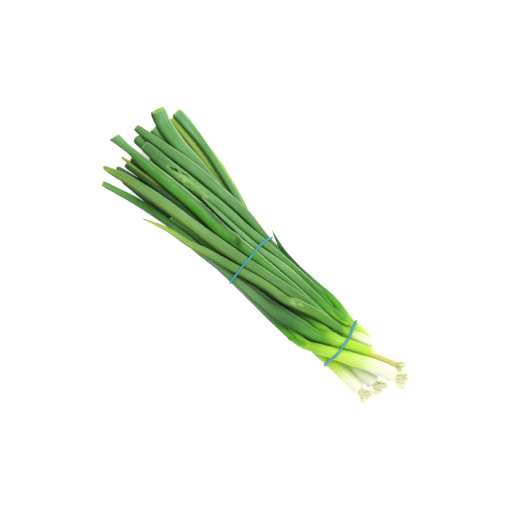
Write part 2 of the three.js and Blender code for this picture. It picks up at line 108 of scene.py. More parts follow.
@dataclass(frozen=True)
class Look:
    """How one leaf differs from the others, in shares from 0 to 1 where nothing else is said.

    The near side of a leaf is the one towards the key light, and the far side the other.
    """

    depth: float = 0.4  # how dark and old the green is
    bloom: float = 0.4  # how much pale wax lies on it
    bloom_side: float = -0.5  # where the wax is: -1 on the near side, 0 on top, 1 on the far side
    olive: float = 0.0  # dull cast
    youth: float = 1.0  # fresh green near the neck
    limed: float = 6.0  # how far past the neck the yellow-green reaches, millimetres
    vivid: float = 0.0  # fresh green of the top and the far side
    rim: float = 0.5  # painted highlight: a pale line along the near edge, towards the key light
    far_painted_shade: float = 0.68  # painted shade on the far edge, away from the key light
    frost: float = 0.0  # more wax towards the end
    wax_to: float = 400.0  # x past which the wax is rubbed off
    warmth: tuple[tuple[float, float], ...] = ((0, 0), (310, 0))  # rows of x and share of yellow


@dataclass(frozen=True)
class Mark:
    """A scar, dent or tear on a leaf.

    x is its place along the leaf and side its place across (-1 to 1), both lengths are half sizes, and
    strength is how far it is sunk in millimetres or how pale it is.
    """

    x: float
    side: float
    length: float
    breadth: float
    strength: float

    def near(self, along: np.ndarray, side: np.ndarray, sharpness: int = 4) -> np.ndarray:
        """How near places on the skin are to the mark, 1 in its middle and 0 well outside it."""
        away = ((along - self.x) / self.length) ** sharpness + ((side - self.side) / self.breadth) ** 2
        return np.exp(-away)


@dataclass(frozen=True)
class Leaf:
    """One leaf: its height order, its end, and rows of x, y and width from the neck to the tip."""

    order: float
    end: End
    path: Rows
    look: Look = Look()
    side: bool = False  # whether it grows out of the leaf before it
    set_back: float = 0.0  # how far the upper lip of a cut end lies behind the lower one, millimetres
    slant: float = 0.0  # how far the far side of a cut end lies behind the near one
    pressed: float = 0.0  # share of its thickness that a cut end has lost
    dents: tuple[Mark, ...] = ()
    scars: tuple[Mark, ...] = ()
    tears: tuple[Mark, ...] = ()
    stripes: tuple[Mark, ...] = ()  # yellow lines along it
    painted_shades: tuple[Mark, ...] = ()  # places darkened with painted shade


@dataclass(frozen=True)
class Roots:
    """A trimmed tuft of roots, sizes in millimetres."""

    length: float
    width: float
    turn: float  # makes each tuft's threads lie another way
    tan: float = 0.6  # how brown they are where they leave the base


@dataclass(frozen=True)
class Onion:
    """One onion plant: its height order, its shank in rows of x, y and width, its roots and its leaves."""

    name: str
    order: float
    neck: float  # x where its leaves part
    shank: Rows
    roots: Roots
    leaves: list[Leaf]
    white_to: float = 34.0  # where along x the white of the shank turns yellow-green
    dry_edge: float = 0.0  # how strong the line of dry skin along its top is
    near_side_painted_light: float = 0.0  # painted light: how much whiter the near side, towards the key light, is by the roots
    young: float = 0.4  # how fresh the green of the neck is
    limes: float = 0.68  # share of green just under the neck
    greening: float = 12.0  # how far past the neck the skin is fully green, millimetres


ONIONS = [
    Onion(
        "onion_1", 0.6, 62,
        [(22.5, 16.2, 11.2), (28, 16.2, 11.2), (45, 15.8, 10.5), (55, 16.2, 10), (70, 16.5, 9.5)],
        Roots(9, 13.5, 0, 0.35),
        [
            Leaf(1.2, End.POINT, [(63, 16.7, 7), (80, 17, 6.2), (100, 17.5, 5.6), (130, 17.8, 5.4),
                                  (157, 17.6, 5.4), (200, 20.3, 6.6), (240, 23.7, 6.5), (272, 28, 3)],
                 Look(depth=0.95, bloom=0.15)),
            Leaf(1.1, End.POINT, [(63, 16.3, 7), (80, 14, 6), (100, 11.4, 5.4), (130, 11.6, 5.4),
                                  (157, 11.4, 5.4), (200, 13.6, 6.5), (255, 18.5, 6.5), (283, 23, 4)],
                 Look(depth=0.9, bloom=0.15)),
            Leaf(1.0, End.POINT, [(63, 16, 7), (80, 12, 5.8), (100, 6.2, 5.4), (130, 5.4, 5.4),
                                  (157, 5.2, 5.4), (200, 7, 6.3), (255, 10, 6), (286, 14.5, 2)],
                 Look(depth=0.55, bloom=0.1, warmth=((230, 0), (262, 0.8), (290, 0.9)))),
            Leaf(2.0, End.CUT, [(63, 16, 7), (80, 12.5, 5.8), (100, 8.6, 5.4), (130, 6.4, 5.2),
                                (157, 6.2, 5.2), (200, 1.5, 6.6), (250, 6, 7), (281, 9, 7)],
                 Look(depth=0.9, bloom=0.2)),
        ],
        white_to=36,
    ),
    Onion(
        "onion_2", 0.5, 60,
        [(18.2, 4.0, 12.4), (30, 4.9, 11.2), (40, 5.0, 9.8), (52, 4.5, 9), (68, 1, 8.5)],
        Roots(8.5, 12.5, 0.4, 0.6),
        [
            Leaf(2.1, End.CUT, [(61, 2.7, 7), (80, 1.5, 5.8), (100, -3, 5.4), (130, -5.5, 5.2),
                                (157, -6, 5.2), (180, -11.5, 6), (200, -18.3, 7.6), (240, -23.4, 9.8),
                                (260, -24.2, 11.2), (280, -27.5, 13.2), (293, -32.2, 14.2)],
                 Look(depth=0.45, bloom=0.6, rim=0.9, frost=0.15), set_back=1.3, pressed=0.4),
            Leaf(0.9, End.CUT, [(61, 2.5, 7), (80, 0.5, 5.8), (100, -4.4, 5.4), (130, -7, 5.4),
                                (157, -7.2, 5.4), (180, -15.1, 5.8), (200, -23.2, 6.2), (240, -30.2, 6.2),
                                (270, -34.4, 5.8), (280, -35.4, 5)],
                 Look(depth=0.0, bloom=0.2, far_painted_shade=0.1,
                      warmth=((190, 0.1), (225, 0.35), (250, 0.55), (266, 0.85), (285, 0.95))),
                 scars=(Mark(232, 0.1, 12, 0.4, 0.6), Mark(264, 0.1, 14, 0.6, 1.0)),
                 stripes=(Mark(225, 0.1, 38, 0.3, 0.6),)),
            Leaf(1.9, End.CUT, [(61, 2.3, 7), (80, -1.2, 5.6), (100, -8, 5.2), (130, -11.6, 5),
                                (157, -12, 5.2), (180, -19, 5.6), (200, -26.5, 6), (240, -36.5, 6.8),
                                (270, -40.9, 9.0), (281, -41.6, 9.2)],
                 Look(depth=0.5, bloom=0.5, frost=0.25, rim=0.8), set_back=0.3, pressed=0.4),
            Leaf(0.8, End.POINT, [(61, 2.3, 7), (80, -2, 5.4), (100, -9.6, 5), (130, -12.6, 4.6),
                                  (157, -13.2, 4.8), (180, -21.3, 4.8), (200, -28.5, 4.8), (230, -36.5, 4.5),
                                  (255, -41, 1.5)],
                 Look(depth=0.1, bloom=0.1, far_painted_shade=0.3, warmth=((180, 0.3), (210, 0.85), (255, 1.0)))),
            Leaf(0.85, End.CUT, [(61, 3, 7), (80, 3, 5.8), (100, 0.6, 5.4), (130, -0.8, 5.4),
                                 (157, -1, 5.4), (200, -9, 6.8), (250, -17, 7.5), (285, -19, 7)],
                 Look(depth=0.25, bloom=0.5)),
            Leaf(1.8, End.ROUND, [(61, 3, 7), (80, 4, 5.8), (100, 2.6, 5.4), (130, 0.4, 5.2),
                                  (157, 0.2, 5.2), (200, -6, 7), (250, -5.5, 8), (288, -4.5, 8)],
                 Look(depth=0.6, bloom=0.35)),
        ],
        white_to=30,
    ),
    Onion(
        "onion_3", 4, 66,
        [(10, -10.6, 12.4), (15, -9.3, 13), (30, -3.5, 12.2), (40, 1.5, 12), (50, 6.5, 11.2), (60, 11.4, 10),
         (66, 14.7, 9.6), (74, 18.6, 7.6)],
        Roots(9, 15, 0.8, 0.15),
        [
            Leaf(2.3, End.CUT, [(67, 15.8, 8), (80, 22, 6.6), (100, 23.8, 6), (130, 23.4, 6.4),
                                (157, 23.2, 6.2), (200, 23.8, 6.5), (220, 25.8, 6.5), (250, 31, 6.5),
                                (284, 40.3, 5)],
                 Look(depth=0.3, bloom=1.2, bloom_side=0.5, youth=1.8, limed=12, far_painted_shade=0.15, wax_to=215,
                      frost=0.5),
                 painted_shades=(Mark(232, 0, 18, 2, 0.25),)),
            Leaf(2.4, End.CUT, [(67, 15.2, 8.4), (75, 19, 7), (82, 20.2, 6), (100, 18.2, 5.6),
                                (130, 17.7, 5.4), (157, 17.6, 5.4), (200, 18, 6), (225, 21.5, 6)],
                 Look(depth=0.35, bloom=0.3, youth=1.4, limed=12)),
        ],
        white_to=28,
        young=0.95,
        greening=24.0,
    ),
    Onion(
        "onion_4", 3, 62,
        [(16, -18.6, 8.4), (25, -15, 8.8), (35, -11, 9.2), (45, -6.9, 9.6), (55, -2.4, 10.2),
         (60, 0.3, 10.8), (65, 2.4, 12.2), (70, 4.4, 13.2)],
        Roots(6.5, 10.5, 1.2, 0.5),
        [
            Leaf(4, End.POINT, [(63, 4.2, 8), (75, 9.3, 9.5), (82, 10.8, 10.6), (90, 12.6, 12),
                                (110, 17.3, 13), (120, 18.7, 11.8), (140, 20, 9.4), (157, 21.4, 7.6),
                                (190, 24.8, 7), (212, 28, 3)],
                 Look(depth=0.62, bloom=0.8, bloom_side=0.6, youth=0.45, limed=0),
                 painted_shades=(Mark(107, 0, 27, 2, 0.22),)),
            Leaf(2.6, End.CUT, [(63, 1.2, 7.5), (75, 1.8, 7), (90, 4.2, 6), (105, 7.2, 5.6), (120, 10, 5.8),
                                (140, 12, 5.6), (157, 12.1, 5.6), (180, 10, 6.2), (215, 9.3, 7),
                                (250, 12, 7), (281, 16, 6)],
                 Look(depth=1.0, bloom=0.1, limed=14),
                 stripes=(Mark(267, -0.55, 17, 0.3, 0.85),),
                 painted_shades=(Mark(252, 0, 30, 2, 0.3),)),
        ],
        white_to=5,
        dry_edge=1.4,
        near_side_painted_light=1.0,
        limes=0.72,
        greening=20.0,
    ),
    Onion(
        "onion_5", 2, 61,
        [(41, -15.6, 7.6), (50, -12.9, 8.2), (61, -9.3, 8.2), (69, -7.3, 7.6)],
        Roots(1.2, 3.6, 1.6, 0),
        [
            Leaf(5, End.POINT, [(62, -7.8, 6), (80, -5, 7.6), (90, -2.8, 8.5), (107, 2.8, 8.8), (115, 6, 7),
                                (130, 7.9, 6.8), (150, 12.7, 7.5), (165, 17, 7.2), (185, 22.2, 6.6),
                                (200, 26.8, 5.5), (220, 30.7, 4), (240, 38, 1.2)],
                 Look(depth=0.45, bloom=0.36, olive=0.4, youth=0.2, limed=-2,
                      warmth=((170, 0.05), (195, 0.3), (220, 0.85), (240, 0.95))),
                 dents=(Mark(115, 0.1, 2.2, 0.9, 1.1),),
                 scars=(Mark(106, -0.1, 7.0, 0.8, 0.8),)),
            Leaf(4.5, End.POINT, [(62, -8.2, 6), (80, -6, 6.4), (100, -4.4, 7), (115, -1.7, 8.4),
                                  (130, 1, 8.2), (150, 4.8, 8.5), (180, 10.5, 10), (210, 14.5, 9),
                                  (240, 18.4, 9.5), (270, 24, 8), (284, 28, 6.2), (291, 30, 3.8)],
                 Look(depth=0.6, bloom=0.45, olive=0.5, youth=0.3,
                      warmth=((150, 0.0), (200, 0.15), (280, 0.2), (292, 0.7)))),
            Leaf(4.3, End.FLARE, [(62, -8.6, 6), (80, -7, 5), (100, -6.8, 5), (120, -6, 5.4),
                                  (140, -3.6, 7.6), (160, -2.2, 8.4), (174, -0.6, 9.4), (190, 1.3, 11),
                                  (215, 1.5, 11.3), (250, 3.8, 10), (270, 5.6, 9), (282, 5.7, 6.8),
                                  (290, 6.2, 6.4), (303, 7, 9)],
                 Look(depth=0.38, bloom=0.28, bloom_side=-0.7, youth=0.3, vivid=1.0, rim=1.0, frost=0.5),
                 set_back=0.5, slant=-1.3,
                 dents=(Mark(173, -0.05, 2.1, 0.9, 3.0),), painted_shades=(Mark(171, 0.3, 8, 0.8, 0.25),)),
        ],
        white_to=50,
    ),
    Onion(
        "onion_6", 1, 63,
        [(44, -20.4, 2.6), (50, -19.8, 4), (56, -18.4, 5.6), (63, -17.2, 7.4), (71, -16.3, 8.6)],
        Roots(0.8, 2.0, 2, 0),
        [
            Leaf(3.8, End.POINT, [(64, -15.6, 6.2), (80, -12.6, 6.4), (100, -12.2, 7.4), (130, -11.8, 7),
                                  (157, -8.7, 5), (175, -7.8, 3.8), (200, -7.1, 3.2), (217, -6.7, 1.6)],
                 Look(depth=0.25, bloom=0.75, bloom_side=-0.2, youth=1.0, limed=10)),
            Leaf(3.6, End.CUT, [(64, -17, 6.5), (80, -17, 5.8), (100, -17.4, 5.6), (120, -17, 5.8),
                                (150, -15.3, 6.6), (175, -13, 7.6), (200, -11.8, 8.6), (240, -7.6, 10.6),
                                (260, -5.6, 10.4), (281, -4.7, 8.8)],
                 Look(depth=0.42, bloom=0.52, youth=1.2),
                 painted_shades=(Mark(272, 0, 20, 2, 0.34),),
                 pressed=0.5,
                 scars=(Mark(217, 0.1, 6.0, 0.6, 0.8), Mark(227, -0.3, 6.0, 0.5, 0.6),
                        Mark(237, -0.1, 9.0, 0.9, 0.85)),
                 tears=(Mark(249.5, -0.2, 4.8, 0.2, 3.0), Mark(240.5, -0.6, 4.0, 0.1, 1.6))),
            Leaf(3.4, End.CUT, [(64, -18, 6), (85, -21, 5.8), (105, -20.4, 5), (130, -19.3, 5),
                                (157, -18.8, 6), (180, -21, 8), (200, -20.5, 9), (240, -18, 10),
                                (270, -13.9, 8.8), (296, -10.5, 6)],
                 Look(depth=0.65, bloom=0.5, youth=1.2), pressed=0.3),
            Leaf(3.2, End.POINT, [(112, -20, 2.6), (130, -20.8, 3), (140, -21.4, 3), (150, -23.4, 2.8),
                                  (159, -26.5, 0.8)],
                 Look(depth=0.8, bloom=0.1), side=True),
        ],
        white_to=43,
        dry_edge=0.4,
    ),
]


def smooth_at(rows: Rows, x: float, column: int) -> float:
    """Reads a smooth curve through rows.

    Args:
        rows: rows that start with x, in rising order.
        x: the place to read.
        column: which value of the rows.

    Returns:
        The value at x, held at the ends.
    """
    last = len(rows) - 1
    if x <= rows[0][0]:
        return rows[0][column]
    if x >= rows[last][0]:
        return rows[last][column]
    i = 0
    while x > rows[i + 1][0]:
        i += 1

    def slope(j: int) -> float:
        """Slope of the curve at row j."""
        a, b = rows[max(j - 1, 0)], rows[min(j + 1, last)]
        return (b[column] - a[column]) / (b[0] - a[0])

    span = rows[i + 1][0] - rows[i][0]
    s = (x - rows[i][0]) / span
    bend = s * s * (3 - 2 * s)
    value = rows[i][column] * (1 - bend) + rows[i + 1][column] * bend
    return value + span * s * (1 - s) * ((1 - s) * slope(i) - s * slope(i + 1))


def smoothstep(low: float, high: float, value: np.ndarray | float) -> np.ndarray:
    """Rises smoothly from 0 at low to 1 at high."""
    s = np.clip((np.asarray(value, float) - low) / (high - low), 0, 1)
    return s * s * (3 - 2 * s)


@dataclass
class Stalk:
    """A shank or leaf as a row of knots, in layout millimetres.

    x, y, w and t are the knots' places, widths and thicknesses, and z the heights that settling finds.
    """

    onion: Onion
    path: Rows
    order: float
    thickness: Callable[[float], float]
    leaf: Leaf | None = None
    grows_from: "Stalk | None" = None
    x: list[float] = field(default_factory=list)
    y: list[float] = field(default_factory=list)
    w: list[float] = field(default_factory=list)
    t: list[float] = field(default_factory=list)
    z: list[float] = field(default_factory=list)

    def __post_init__(self) -> None:
        """Places the knots, with the heights on the table."""
        first, last = self.path[0][0], self.path[-1][0]
        self.x = [first]
        place = math.ceil(first / KNOT_STEP) * KNOT_STEP
        while place < last:
            if place - first > LEAST_STEP and last - place > LEAST_STEP:
                self.x.append(place)
            place += KNOT_STEP
        self.x.append(last)
        self.y = [smooth_at(self.path, x, 1) for x in self.x]
        self.w = [smooth_at(self.path, x, 2) for x in self.x]
        self.t = [self.thickness(w) for w in self.w]
        self.z = [self.cradle(x, y) + t / 2 for x, y, t in zip(self.x, self.y, self.t)]

    @staticmethod
    def cradle(x: float, y: float) -> float:
        """Height of the bunch's underside: flat, but rising to the sides where a band rounds it.

        Args:
            x: a place along the bunch.
            y: a place across it.

        Returns:
            How high the lowest skin may lie there.
        """
        side = min(abs(y), CRADLE_SIDE)
        rise = CRADLE_RADIUS - math.sqrt(CRADLE_RADIUS**2 - side**2)
        return smooth_at(CRADLE, x, 2) + smooth_at(CRADLE, x, 1) * rise

    def order_at(self, x: float) -> float:
        """Height order at x: a leaf keeps its shank's order until it has left the neck."""
        return self.onion.order if x < self.onion.neck + NECK_REACH else self.order

    def span(self, x: float) -> tuple[int, float]:
        """Finds the knots on both sides of a place.

        Args:
            x: the place.

        Returns:
            Index of the knot before it, and the share of the way to the next one.
        """
        i = 0
        while i < len(self.x) - 2 and x > self.x[i + 1]:
            i += 1
        return i, (x - self.x[i]) / (self.x[i + 1] - self.x[i])

    def between(self, x: float, values: list[float]) -> float:
        """Straight-line value at x of one of the knots' lists."""
        i, s = self.span(x)
        return values[i] * (1 - s) + values[i + 1] * s

    def lift(self, x: float, rise: float) -> None:
        """Raises the knots on both sides of a place.

        Args:
            x: the place.
            rise: how far the stalk is lifted there.
        """
        i, s = self.span(x)
        scale = rise / ((1 - s) ** 2 + s**2)
        self.z[i] += scale * (1 - s)
        self.z[i + 1] += scale * s

    def reaches(self, x: float) -> bool:
        """Whether the stalk has a section at x."""
        return self.x[0] <= x <= self.x[-1]

    def joined(self, other: "Stalk", x: float) -> bool:
        """Whether two stalks grow out of each other at a place.

        Args:
            other: the other stalk.
            x: the place.

        Returns:
            True where they need no air between them.
        """
        near = x < self.onion.neck + SHEATH
        branch = any(s.leaf is not None and s.leaf.side for s in (self, other))
        return self.onion is other.onion and (near or branch)


class Heap:
    """All stalks of the bunch, stacked so that none crosses another."""

    def __init__(self) -> None:
        """Lays the stalks out and lets them settle."""
        self.shanks: list[Stalk] = []
        self.leaves: dict[str, list[Stalk]] = {}
        self.stalks: list[Stalk] = []
        for onion in ONIONS:
            shank = Stalk(onion, onion.shank, onion.order, lambda w: SHANK_FLATNESS * w)
            self.shanks.append(shank)
            self.stalks.append(shank)
            stem = shank
            self.leaves[onion.name] = []
            for leaf in onion.leaves:
                parent = stem if leaf.side else shank
                stem = Stalk(onion, leaf.path, leaf.order, self.leaf_thickness, leaf, parent)
                self.leaves[onion.name].append(stem)
                self.stalks.append(stem)
        self.settle()

    @staticmethod
    def leaf_thickness(width: float) -> float:
        """Thickness of a leaf, a tube that lies a little flat."""
        return min(LEAF_THICKNESS_SHARE * width + LEAF_THICKNESS_LEAST, LEAF_THICKNESS_MOST)

    def pairs(self) -> list[tuple[float, Stalk, Stalk, float]]:
        """Finds where two stalks meet.

        Returns:
            For each place x, the lower and the upper stalk and how far apart their middles have to be.
        """
        found = []
        steps = int(max(s.x[-1] for s in self.stalks) / TEST_STEP)
        for x in (k * TEST_STEP for k in range(steps + 1)):
            here = sorted((s for s in self.stalks if s.reaches(x)), key=lambda s: s.order_at(x))
            for i, upper in enumerate(here):
                for lower in here[:i]:
                    across = abs(lower.between(x, lower.y) - upper.between(x, upper.y))
                    reach = (lower.between(x, lower.w) + upper.between(x, upper.w)) / 2 + CLEARANCE
                    if across >= reach or lower.joined(upper, x):
                        continue
                    touch = (lower.between(x, lower.t) + upper.between(x, upper.t)) / 2 + CLEARANCE
                    found.append((x, lower, upper, touch * math.sqrt(1 - (across / reach) ** 2)))
        return found

    def settle(self) -> None:
        """Lets each stalk rise until it crosses none below it, bends gently and starts in its neck."""
        pairs = self.pairs()
        for _ in range(SETTLE_ROUNDS):
            for x, lower, upper, apart in pairs:
                rise = apart - (upper.between(x, upper.z) - lower.between(x, lower.z))
                if rise > 0:
                    upper.lift(x, rise)
            for stalk in self.stalks:
                self.soften(stalk)

    @staticmethod
    def soften(stalk: Stalk) -> None:
        """Limits a stalk's slope and sag, and ties its first knot to what it grows from.

        Args:
            stalk: the stalk, whose knots are raised.
        """
        x, z = stalk.x, stalk.z
        for i in range(1, len(x)):
            drop = MOST_SLOPE * (x[i] - x[i - 1])
            z[i] = max(z[i], z[i - 1] - drop)
            z[i - 1] = max(z[i - 1], z[i] - drop)
        for i in range(1, len(x) - 1):
            z[i] = max(z[i], (z[i - 1] + z[i + 1]) / 2 - SAG)
        parent = stalk.grows_from
        if parent is None:
            return
        short = parent.between(x[0], parent.z) - z[0]
        if short > 0:
            z[0] += short
        else:
            parent.lift(x[0], -short)


def in_part(points: np.ndarray) -> np.ndarray:
    """Layout millimetres to the part's metres."""
    return (points - np.array([*BUNCH_CENTRE, FLAT_DEPTH])) / 1000


# Node trees and materials


def add_node(tree: bpy.types.NodeTree, kind: str, inputs: dict | None = None,
             **settings: object) -> bpy.types.Node:
    """Adds a node.

    Args:
        tree: the tree it goes in.
        kind: Blender's name for the node.
        inputs: for a socket's name or index, the value it holds or the socket that feeds it.
        settings: properties of the node itself.

    Returns:
        The new node.
    """
    made = tree.nodes.new(kind)
    for name, value in settings.items():
        setattr(made, name, value)
    for key, value in (inputs or {}).items():
        if isinstance(value, Socket):
            tree.links.new(value, made.inputs[key])
        else:
            made.inputs[key].default_value = value
    return made


def linear(colour: str) -> tuple[float, float, float, float]:
    """Turns a screen colour to linear light.

    Args:
        colour: an sRGB hex value.

    Returns:
        Red, green, blue and alpha.
    """
    parts = [int(colour[i : i + 2], 16) / 255 for i in (1, 3, 5)]
    lit = [p / 12.92 if p <= 0.04045 else ((p + 0.055) / 1.055) ** 2.4 for p in parts]
    return (*lit, 1.0)


class Surface:
    """A material in the making: its tree, and short ways to say what its nodes do."""

    def __init__(self, name: str) -> None:
        """Starts an empty material.

        Args:
            name: its name.
        """
        self.material = bpy.data.materials.new(name)
        self.material.use_nodes = True
        self.tree = self.material.node_tree
        self.tree.nodes.clear()

    def add(self, kind: str, inputs: dict | None = None, **settings: object) -> bpy.types.Node:
        """Adds a node to the material."""
        return add_node(self.tree, kind, inputs, **settings)

    def value(self, name: str) -> Socket:
        """The number that the mesh carries under that name."""
        return self.add("ShaderNodeAttribute", attribute_name=name).outputs["Fac"]

    def sum(self, operation: str, *values: Socket | float) -> Socket:
        """Works with numbers.

        Args:
            operation: Blender's name for what is done, with a dot where the result is kept between 0 and 1.
            values: what it is done with.

        Returns:
            The result.
        """
        held = operation.endswith(".")
        inputs = dict(enumerate(values))
        return self.add("ShaderNodeMath", inputs, operation=operation.rstrip("."), use_clamp=held).outputs[0]

    def ramp(self, value: Socket, low: float, high: float, to_low: float = 0.0,
             to_high: float = 1.0) -> Socket:
        """Takes low to to_low and high to to_high, smoothly and held at both ends."""
        inputs = {"Value": value, 1: low, 2: high, 3: to_low, 4: to_high}
        return self.add("ShaderNodeMapRange", inputs, interpolation_type="SMOOTHSTEP").outputs[0]

    def curve(self, value: Socket, rows: Rows) -> Socket:
        """Follows rows with straight lines between them.

        Args:
            value: what is looked up.
            rows: pairs of value and result.

        Returns:
            The result, held at both ends.
        """
        line = rows[0][1]
        for (x0, y0), (x1, y1) in zip(rows, rows[1:]):
            inputs = {"Value": value, 1: x0, 2: x1, 3: 0.0, 4: y1 - y0}
            line = self.sum("ADD", line, self.add("ShaderNodeMapRange", inputs).outputs[0])
        return line

    def noise(self, place: Socket, scale: float, detail: float = 2.0, roughness: float = 0.5) -> Socket:
        """Soft noise from 0 to 1 at a place."""
        inputs = {"Vector": place, "Scale": scale, "Detail": detail, "Roughness": roughness}
        return self.add("ShaderNodeTexNoise", inputs).outputs["Fac"]

    def mix(self, share: Socket | float, below: Socket | str, above: Socket | str) -> Socket:
        """Lays a colour over another one.

        Args:
            share: how much of the upper one shows, from 0 to 1.
            below: the lower colour, a socket or an sRGB hex value.
            above: the upper one.

        Returns:
            The mixed colour.
        """
        colours = [linear(c) if isinstance(c, str) else c for c in (below, above)]
        inputs = {0: share, 6: colours[0], 7: colours[1]}
        return self.add("ShaderNodeMix", inputs, data_type="RGBA").outputs[2]

    def scaled(self, colour: Socket, scale: Socket) -> Socket:
        """A colour made lighter or darker."""
        return self.add("ShaderNodeVectorMath", {0: colour, "Scale": scale}, operation="SCALE").outputs[0]

    def along_grain(self, across: float, along: float) -> Socket:
        """A place on a stalk's skin, for patterns that are drawn out along it.

        Args:
            across: how many pattern units the half circumference has.
            along: how many a metre of length has.

        Returns:
            A vector that goes round the stalk without a seam.
        """
        inputs = {
            0: self.sum("MULTIPLY", self.value("side"), across),
            1: self.sum("MULTIPLY", self.value("facing"), across),
            2: self.sum("MULTIPLY", self.value("along"), along),
        }
        shift = self.add("ShaderNodeCombineXYZ", {0: self.value("seed"), 1: self.value("seed")}).outputs[0]
        place = self.add("ShaderNodeCombineXYZ", inputs).outputs[0]
        return self.add("ShaderNodeVectorMath", {0: place, 1: shift}, operation="ADD").outputs[0]

    def finish(self, colour: Socket, rough: Socket, height: Socket, relief_mm: float,
               fixed: dict[str, Socket | float | tuple]) -> bpy.types.Material:
        """Closes the material.

        Args:
            colour: its base colour.
            rough: its roughness.
            height: the relief, from 0 to 1.
            relief_mm: how high a relief of 1 stands.
            fixed: values for the shader's other sockets.

        Returns:
            The finished material.
        """
        bump = self.add("ShaderNodeBump", {"Height": height, "Distance": relief_mm / 1000, "Strength": 1.0})
        inputs = {"Base Color": colour, "Roughness": rough, "Normal": bump.outputs[0], **fixed}
        shader = self.add("ShaderNodeBsdfPrincipled", inputs)
        self.add("ShaderNodeOutputMaterial", {"Surface": shader.outputs[0]})
        return self.material


@dataclass(frozen=True)
class LeafCuticle:
    """Living leaf skin: chlorophyll green under a thin wax.

    The wax gives a soft sheen and a pale bluish film on the side that nothing has rubbed, and the veins run
    as faint lines along the leaf.
    """

    blade: str = "#509A33"
    old: str = "#1E5A1C"
    vivid: str = "#45981C"
    fresh: str = "#57AE16"
    neck: str = "#93D02A"
    wax: str = "#8CC474"
    thick_wax: str = "#88C08A"
    # painted highlight along a leaf's near edge
    rim: str = "#BDE8A0"
    olive: str = "#66903A"
    yellow: str = "#BCDC3C"
    scar: str = "#A6CE6E"
    brown: str = "#8C7B3C"
    pith: str = "#B4DC70"
    # painted shade inside a hollow cut end and in a tear
    hollow: str = "#123A0C"
    half_round_mm: float = 9.0  # half the circumference of a leaf
    vein_pitch_mm: float = 0.9  # real veins are 0.4 mm apart, which the picture can't show
    mottle_pitch_mm: float = 1.1
    streak_pitch_mm: float = 2.4
    relief_mm: float = 0.25

    def material(self) -> bpy.types.Material:
        """Builds the skin of the leaves.

        Returns:
            The material.
        """
        s = Surface("waxy_leaf_cuticle")
        veins = s.noise(s.along_grain(self.half_round_mm / self.vein_pitch_mm, 12), 1.0, 2.0, 0.6)
        streaks = s.noise(s.along_grain(self.half_round_mm / self.streak_pitch_mm, 22), 1.0, 3.0, 0.55)
        patches = s.noise(s.along_grain(0.8, 55), 1.0, 3.0, 0.55)
        old = s.sum("ADD", s.ramp(patches, 0.3, 0.7, -0.2, 0.2), s.ramp(streaks, 0.3, 0.7, -0.16, 0.16))
        old = s.sum("MULTIPLY_ADD.", s.value("depth"), 1.1, old)
        colour = s.mix(old, self.blade, self.old)
        vivid = s.sum("MULTIPLY.", s.value("vivid"), s.ramp(patches, 0.35, 0.65, 0.6, 1.1))
        colour = s.mix(vivid, colour, self.vivid)
        colour = s.mix(s.value("olive"), colour, self.olive)
        colour = s.mix(s.value("youth"), colour, self.fresh)
        colour = s.mix(s.value("neck"), colour, self.neck)
        warm = s.sum("MULTIPLY.", s.value("warmth"), s.ramp(streaks, 0.25, 0.6, 0.55, 1.1))
        colour = s.mix(warm, colour, self.yellow)
        film = s.sum("MULTIPLY.", s.value("bloom"), s.ramp(streaks, 0.3, 0.7, 0.55, 1.2))
        film = s.sum("MULTIPLY.", film, s.ramp(patches, 0.3, 0.65, 0.6, 1.15))
        colour = s.mix(film, colour, s.mix(s.ramp(film, 0.25, 0.75), self.wax, self.thick_wax))
        # painted highlight: the pale line along the near edge
        rim = s.sum("MULTIPLY.", s.value("rim"), s.ramp(patches, 0.3, 0.65, 0.55, 1.0))
        colour = s.mix(rim, colour, self.rim)
        flecks = s.noise(s.along_grain(3.2, 260), 1.0, 3.0)
        worn = s.sum("MULTIPLY.", s.value("scar"), s.ramp(flecks, 0.42, 0.6))
        colour = s.mix(worn, colour, self.scar)
        colour = s.mix(s.value("dry"), colour, self.brown)
        colour = s.mix(s.value("pith"), colour, self.pith)
        # painted shade in hollows and tears
        colour = s.mix(s.value("hollow"), colour, self.hollow)
        mottle = s.noise(s.along_grain(self.half_round_mm / self.mottle_pitch_mm, 420), 1.0, 2.0, 0.6)
        # the attribute edge carries painted shade, which darkens the colour together with the veins
        shade = s.sum("MULTIPLY", s.ramp(veins, 0.25, 0.75, 0.78, 1.16), s.value("edge"))
        shade = s.sum("MULTIPLY", shade, s.ramp(mottle, 0.25, 0.75, 0.86, 1.14))
        rough = s.sum("ADD.", s.ramp(film, 0, 1, 0.4, 0.55), s.ramp(streaks, 0.3, 0.7, -0.04, 0.05))
        height = s.sum("ADD", s.sum("MULTIPLY", veins, 0.6), s.sum("MULTIPLY", worn, 0.5))
        # no reflection where the painted hollow shade lies
        fixed = {"IOR": 1.45, "Specular IOR Level": s.ramp(s.value("hollow"), 0, 0.5, 0.35, 0.0)}
        return s.finish(s.scaled(colour, shade), rough, height, self.relief_mm, fixed)


